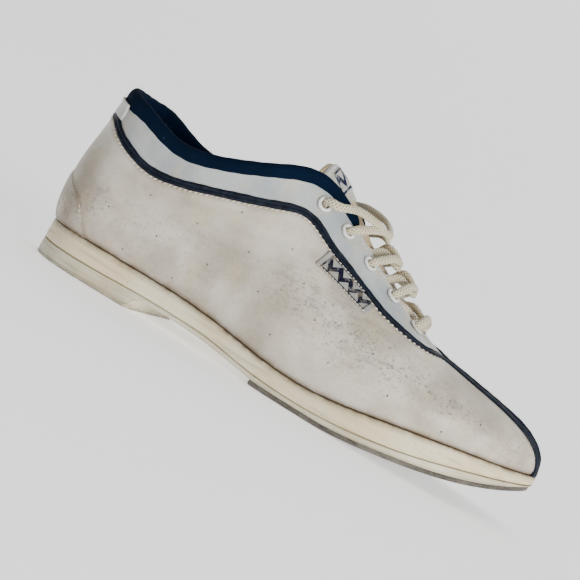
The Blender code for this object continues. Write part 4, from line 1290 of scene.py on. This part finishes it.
def make_eyelet(name, t, v, seed):
    """The profile spun round the hole's axis: seat + radius along the spoke + rise along the normal."""
    point, normal, upward = wall_frame(np.array(t), np.array(v))
    point = point + normal * (leather_relief(np.array([t]), np.array([v])) + 0.08)
    across = np.cross(upward, normal)
    turn = np.arange(EYELET_SIDES) * 2 * np.pi / EYELET_SIDES
    spoke = np.cos(turn)[:, None] * upward + np.sin(turn)[:, None] * across
    dent = 1 + 0.012 * np.sin(3 * turn + seed) + 0.008 * np.sin(5 * turn + 2 * seed)
    rings = (point + EYELET_PROFILE[:, None, :1] * dent[None, :, None] * spoke[None]
             + EYELET_PROFILE[:, None, 1:] * normal)
    rings = np.concatenate([rings, rings[:1]])
    faces, corners = grid_faces(len(rings), EYELET_SIDES, True)
    made = make_mesh(name, rings.reshape(-1, 3), faces, corners, (0.5, 0.6), merge=0.001)
    away = places_of(made) - point
    rise = away @ normal
    reach = np.linalg.norm(away - rise[:, None] * normal, axis=1)
    grime = 0.6 * np.exp(-(np.maximum(4.45 - reach, 0) / 0.3)) + 0.7 * (rise < 0.0)
    store(made, rim=np.exp(-((reach - 2.7) / 0.45) ** 2), grime=grime)
    return made


for number, (seat, (t, v)) in enumerate(SEATS.items()):
    finished(make_eyelet(seat + "_enamel", t, v, 1.7 * number), ENAMEL, "eyelet_enamel", seat)

# %% [markdown]
# ## The lace
# One braided cotton lace runs through all ten eyelets. It is a flattened tube carried along one smooth path,
# because a real lace is one length: up through an eyelet, over its facing, across the throat, under the other
# facing and up again. The path's knots come from the eyelets' own frames, so the lace passes through the
# middle of each hole. Its ends go in at the top pair and stop inside.

# %% The route of the lace
LACE_HALF_WIDTH, LACE_HALF_THICKNESS = 2.35, 1.5
LACE_SIDES, LACE_STEP = 18, 0.62
LACE_SQUEEZE = 0.27  # share of its size that it loses in the holes
LACE_BAR_X = 58.6
CROSSING_SPREAD = 1.45
LEG_ARCH = [(0.08, 2.4), (0.34, 4.2), (0.68, 3.8)]  # share of the way to the crossing, and height of the arch
# The last leg to a top eyelet, from its crossing.
TOP_LEG = [(-3.5, 8.0, 3.4), (-11.0, 16.0, 5.3), (-20.0, 24.5, 5.2), (-28.0, 31.0, 2.6)]
HIDDEN_END = [(0.0, -0.6), (-0.6, -4.0), (-2.5, -7.0)]  # towards the throat and above the wall


def seat_knot(side, row, across, rise):
    """A place so far from an eyelet towards the throat, along the wall, and so far above the wall."""
    t, v = SEATS[f"eyelet_{side}_{row}"]
    run = np.linspace(v, 1.0, 60)
    points = wall_point(np.full(run.shape, t), run)
    length = np.concatenate([[0], np.cumsum(np.linalg.norm(np.diff(points, axis=0), axis=1))])
    point, normal, upward = wall_frame(np.array(t), np.interp(across, length, run))
    return point + normal * rise + upward * max(0.0, across - length[-1])


def throat_edge(side, x, inwards, below):
    """A place beside the edge of a facing at x, so far in from it and so far below it."""
    sign = 1 if side == "lateral" else -1
    edge = wall_point(sign * np.linspace(6.5, 11.6, 101), np.ones(101))
    y, z = (np.interp(x, edge[:, 0], edge[:, k]) for k in (1, 2))
    return np.array([x, y + sign * inwards, z - below])


def other(side):
    return "medial" if side == "lateral" else "lateral"


def leg_knots(side, row):
    """Knots from inside one eyelet to just before the next: out of the hole, in a loose arch to the crossing,
    back along the throat on the other side, and under that facing."""
    cross = np.array(LACE_CROSSINGS[row - 1])
    cross[2] += CROSSING_SPREAD if side == "lateral" else -CROSSING_SPREAD
    sign = -1 if side == "lateral" else 1
    hole = seat_knot(side, row, 0.0, 0.0)
    normal = seat_knot(side, row, 0.0, 1.0) - hole
    out = [hole - 0.6 * normal] + [hole + share * (cross - hole) + rise * normal for share, rise in LEG_ARCH]
    out.append(cross)
    if row == 4:
        down = [cross + (dx, -sign * dy, dz) for dx, dy, dz in TOP_LEG]
        return out + down + [seat_knot(other(side), 5, 0.8, 2.2)]
    back = cross + (-9.0, -sign * 5.5, 3.2)
    under = throat_edge(other(side), cross[0] - 15.0, 2.6, 1.2)
    beneath = seat_knot(other(side), row + 1, 4.5, -4.6)
    return out + [back, under, beneath, seat_knot(other(side), row + 1, 0.6, -3.4)]


def half_lace(side):
    """One half of the lace, from its first eyelet to its hidden end inside the top one."""
    knots, here = [], side
    for row in range(1, 5):
        knots += leg_knots(here, row)
        here = other(here)
    return knots + [seat_knot(here, 5, across, rise) for across, rise in HIDDEN_END]


def lace_bar():
    """Knots of the bar between the two lowest eyelets, under both facings and over the tongue."""
    middle = [np.array([LACE_BAR_X, y, tongue_height(LACE_BAR_X, y) + 2.6]) for y in (0.4, 4.0, 7.6)]
    return ([seat_knot("lateral", 1, 0.4, -3.4), seat_knot("lateral", 1, 5.0, -4.4)] + middle
            + [seat_knot("medial", 1, 5.0, -4.4), seat_knot("medial", 1, 0.4, -3.4)])


def make_lace():
    """An ellipse carried along the path. Its width keeps to one direction down the throat, made square to the
    path, so the lace lies flat on the facings and turns over cleanly in the holes, where it is squeezed."""
    path = spaced(half_lace("lateral")[::-1] + lace_bar() + half_lace("medial"), LACE_STEP)
    along = unit(np.gradient(path, axis=0))
    down_throat = np.array([0.8, 0.0, -0.6])
    width = unit(down_throat - (along @ down_throat)[:, None] * along)
    for _ in range(6):
        width = unit(width + 0.5 * np.roll(width, 1, 0) + 0.5 * np.roll(width, -1, 0))
    width = unit(width - (width * along).sum(1, keepdims=True) * along)
    depth = np.cross(width, along)
    turn = np.arange(LACE_SIDES) * 2 * np.pi / LACE_SIDES
    steps = np.arange(len(path))
    gap, _ = nearest(path, np.array([wall_point(t, v) for t, v in SEATS.values()]))
    size = 1 + 0.035 * np.sin(steps / 7.3) + 0.03 * np.sin(steps / 2.9)
    size = size * (1 - LACE_SQUEEZE * np.exp(-(gap / 3.2) ** 2))
    section = np.stack([LACE_HALF_WIDTH * np.sign(np.cos(turn)) * np.abs(np.cos(turn)) ** 0.85,
                        LACE_HALF_THICKNESS * np.sin(turn)], -1)
    strand = 1 + 0.035 * np.cos(2 * np.pi * (np.arange(LACE_SIDES)[None] / 3 + steps[:, None] / 5.2))
    rings = carried(path, width, depth, section, size)
    rings = path[:, None] + (rings - path[:, None]) * strand[..., None]
    print("lace of", round(LACE_STEP * len(path)), "mm")
    return run_mesh("braided_lace", rings, (0.7, LACE_STEP))


finished(make_lace(), BRAID, "lace_cotton", "lace_bar", "lace_cross_1", "lace_cross_2", "lace_cross_3",
         "lace_cross_4")

# %% [markdown]
# ## Stitches
# Every seam shows its thread. A stitch is a small capsule that dips into the leather at both ends, and a row
# of them is the same capsule set down at even steps along a line on the wall. All the rows together are one
# mesh, because each stitch needs only a few faces.

# %% Rows of stitches
STITCH_RINGS = np.array([(-1.0, 0.3, -0.5), (-0.72, 0.85, -0.05), (-0.2, 1.0, 0.3), (0.2, 1.0, 0.3),
                         (0.72, 0.85, -0.05), (1.0, 0.3, -0.5)])  # along, thickness and rise of each ring
STITCH_SIDES = 6
FINE_STITCH = {"length": 1.7, "gap": 0.8}


def stitches(points, normals, length=2.1, gap=0.9, width=0.3, slant=0.0):
    """Capsules along a line: their middles a pitch apart, each turned to the line and to the normal."""
    run = np.concatenate([[0], np.cumsum(np.linalg.norm(np.diff(points, axis=0), axis=1))])
    middles = np.arange(length / 2 + gap / 2, run[-1] - length / 2, length + gap)

    def pick(values, at):
        return np.stack([np.interp(at, run, values[:, k]) for k in range(3)], -1)

    centre, normal = pick(points, middles), unit(pick(normals, middles))
    along = unit(pick(points, middles + length / 2) - pick(points, middles - length / 2))
    side = unit(np.cross(normal, along))
    along = unit(along + slant * side)
    side = unit(np.cross(normal, along))
    turn = np.arange(STITCH_SIDES) * 2 * np.pi / STITCH_SIDES
    ring = STITCH_RINGS
    x = ring[:, None, 0] * length / 2 + 0 * turn[None]
    y = ring[:, None, 1] * width * np.cos(turn)[None]
    z = ring[:, None, 1] * width * np.sin(turn)[None] + ring[:, None, 2] * width
    shape = np.stack([x, y, z], -1).reshape(-1, 3)
    return centre[:, None] + shape[None] @ np.stack([along, side, normal], 1)


def wall_stitches(stations, lift=0.1, **spec):
    """A row along places on the wall, on top of the leather's relief."""
    t, v = wall_line(stations, 0.5).T
    return stitches(skin(t, v, lift), wall_frame(t, v)[1], **spec)


def beside_piping(offset):
    """A line at a fixed distance from the piping, and its normals; it stops before the toe."""
    _, _, point, normal, across = piping_frame(12, -12)
    return point + across * offset + normal * 0.5, normal


def facing_row(distance, first=7.15):
    """Places at a fixed distance below the throat's edge, from one end of the binding to the other."""
    spans = [(first, 11.4, 40), (11.6, 12.4, 9), (12.6, STATIONS - first, 40)]
    t = np.concatenate([np.linspace(*span) for span in spans])
    return np.stack([t, below_edge(t, distance)], -1)


def bar_tack():
    """The rectangle sewn across the strip just ahead of the throat, as four sides on the wall."""
    corners = [(10.62, 10.2), (13.45, 10.2), (13.3, 15.4), (10.78, 15.4), (10.62, 10.2)]  # station, distance
    sides = []
    for corner, following in zip(corners, corners[1:]):
        t, distance = np.linspace(corner, following, 9).T
        sides.append(np.stack([t, [float(below_edge(a, b)[0]) for a, b in zip(t, distance)]], -1))
    return sides


def tag_row(b):
    """Places along the tag at a share b of its height, a little in from its ends."""
    a = np.linspace(0.03, 0.97, 12)[:, None]
    low = TAG_CORNERS[0, 0] * (1 - a) + TAG_CORNERS[0, 1] * a
    high = TAG_CORNERS[1, 0] * (1 - a) + TAG_CORNERS[1, 1] * a
    return low * (1 - b) + high * b


def make_stitches():
    """All the rows: facings, tack, piping, counter, tag, tab and the tongue's leather tip."""
    rows = [facing_row(2.6), facing_row(4.7)]
    batches = [wall_stitches(row, **FINE_STITCH) for row in rows + bar_tack()]
    batches.append(stitches(*beside_piping(-2.75), length=1.9, gap=1.0, width=0.36, slant=0.6))
    batches.append(wall_stitches(COUNTER_LINE[1:-1], 0.05, **FINE_STITCH))
    batches += [wall_stitches(tag_row(b), 0.8, length=1.3, gap=0.7, width=0.22) for b in (0.06, 0.94)]
    tab = [(-0.55, 0.9), (-0.3, 0.886), (0.0, 0.882), (0.3, 0.886), (0.55, 0.9)]
    batches.append(wall_stitches(tab, 1.15, length=1.5, gap=0.7))
    length, width = np.linspace(PANEL_START + 0.01, PANEL_END - 0.015, 30), np.linspace(-0.93, 0.93, 40)
    seams = [(length, np.full(30, side)) for side in (-0.93, 0.93)]
    seams += [(np.full(40, s), width) for s in (PANEL_START + 0.01, PANEL_END - 0.012)]
    for s, a in seams:
        point, normal, _ = tongue_frame(s, a)
        batches.append(stitches(point + normal * 1.15, normal, 1.5, 0.8))
    capsules = np.concatenate(batches)
    ends = np.array([[0, 1, 2, 3], [0, 3, 4, 5], [30, 31, 32, 33], [30, 33, 34, 35]])
    faces = np.concatenate([grid_faces(len(STITCH_RINGS), STITCH_SIDES, True)[0], ends])
    count = len(capsules)
    first = np.arange(count) * len(STITCH_RINGS) * STITCH_SIDES
    every = (faces[None] + first[:, None, None]).reshape(-1, 4)
    print(count, "stitches")
    return make_mesh("stitching", capsules.reshape(-1, 3), every)


finished(make_stitches(), THREAD, "lace_cotton")

# %% [markdown]
# ## Floor, light and camera
# A pale paper sweep has no corner, so floor and background run into each other, whatever the camera's roll.
# Big area lights wrap the shoe softly. The camera stands a little above the floor on the outer side, 1.2 m
# away, and is rolled, so that the toe points down to the right.

# %% The studio
CAMERA_AZIMUTH, CAMERA_ELEVATION, CAMERA_ROLL = np.radians([6.6, 3.6, 30.23])
CAMERA_DISTANCE, VIEW_WIDTH = 1.2, 0.300
SENSOR_WIDTH = 36.0  # millimetres
AIM = np.array([0.0, 0.0, 0.045])
AIM_OFFSET = (-0.0089, 0.0101)  # to the right and up in the view
LIGHT_AIM = (0.0, 0.0, 0.05)


def make_paper():
    """A sweep: flat floor, a quarter circle, then a wall, as a height over the distance behind the shoe."""
    radius, flat, width = 0.9, 1.2, 6.0
    turn = np.linspace(0, np.pi / 2, 24)
    back = np.concatenate([[-3.0, -1.5, 0.0], flat + radius * np.sin(turn), [flat + radius]])
    height = np.concatenate([[0, 0, 0], radius * (1 - np.cos(turn)), [4.0]])
    x = np.linspace(-width, width, 13)
    points = np.stack(np.broadcast_arrays(x[None, :], back[:, None], height[:, None]), -1)
    faces, corners = grid_faces(len(back), len(x))
    made = make_mesh("paper_sweep", points.reshape(-1, 3) / MM, faces, corners)
    if made.data.polygons[0].normal.z < 0:
        made.data.flip_normals()
    paper = Finish("studio_paper", 0.9, Emission_Color=(1.0, 1.0, 1.0, 1.0), Emission_Strength=0.7)
    grain = paper.noise(paper.place(), 3.0, 3)
    made.data.materials.append(paper.done(paper.mix(grain, paint(249, 249, 248), paint(252, 252, 251)), 0.9))


def make_light(name, place, size, power, colour):
    """A round soft light, turned to the middle of the shoe."""
    light = bpy.data.lights.new(name, "AREA")
    light.shape, light.size, light.energy, light.color = "DISK", size, power, colour
    lamp = bpy.data.objects.new(name, light)
    bpy.context.scene.collection.objects.link(lamp)
    lamp.location = place
    lamp.rotation_euler = (Vector(LIGHT_AIM) - Vector(place)).to_track_quat("-Z", "Y").to_euler()


def make_camera():
    """Camera axes: right = cos(roll) level + sin(roll) up, top turned the same way, back towards the eye."""
    a, e, r = CAMERA_AZIMUTH, CAMERA_ELEVATION, CAMERA_ROLL
    back = np.array([np.sin(a) * np.cos(e), -np.cos(a) * np.cos(e), np.sin(e)])
    level = np.array([np.cos(a), np.sin(a), 0.0])
    up = np.cross(back, level)
    right, top = np.cos(r) * level + np.sin(r) * up, -np.sin(r) * level + np.cos(r) * up
    eye = AIM + back * CAMERA_DISTANCE + right * AIM_OFFSET[0] + top * AIM_OFFSET[1]
    lens = bpy.data.cameras.new("camera")
    lens.sensor_width = SENSOR_WIDTH
    lens.lens = SENSOR_WIDTH * CAMERA_DISTANCE / VIEW_WIDTH
    lens.clip_start, lens.clip_end = 0.05, 30.0
    camera = bpy.data.objects.new("camera", lens)
    bpy.context.scene.collection.objects.link(camera)
    placed = Matrix.Identity(4)
    for column, vector in enumerate((right, top, back, eye)):
        for line in range(3):
            placed[line][column] = vector[line]
    camera.matrix_world = placed
    bpy.context.scene.camera = camera
    print("camera at", eye.round(3).tolist())


make_paper()
make_light("key_light", (1.5, -1.5, 0.35), 0.9, 62, (1.0, 0.98, 0.94))
make_light("fill_light", (-0.4, -1.8, 1.2), 1.4, 5, (0.97, 0.98, 1.0))
make_light("top_light", (0.4, 0.6, 1.9), 1.5, 5, (0.9, 0.96, 1.0))
world = bpy.data.worlds.new("studio_air")
world.use_nodes = True
world.node_tree.nodes["Background"].inputs["Color"].default_value = (0.93, 0.96, 1.0, 1.0)
world.node_tree.nodes["Background"].inputs["Strength"].default_value = 0.24
bpy.context.scene.world = world
make_camera()
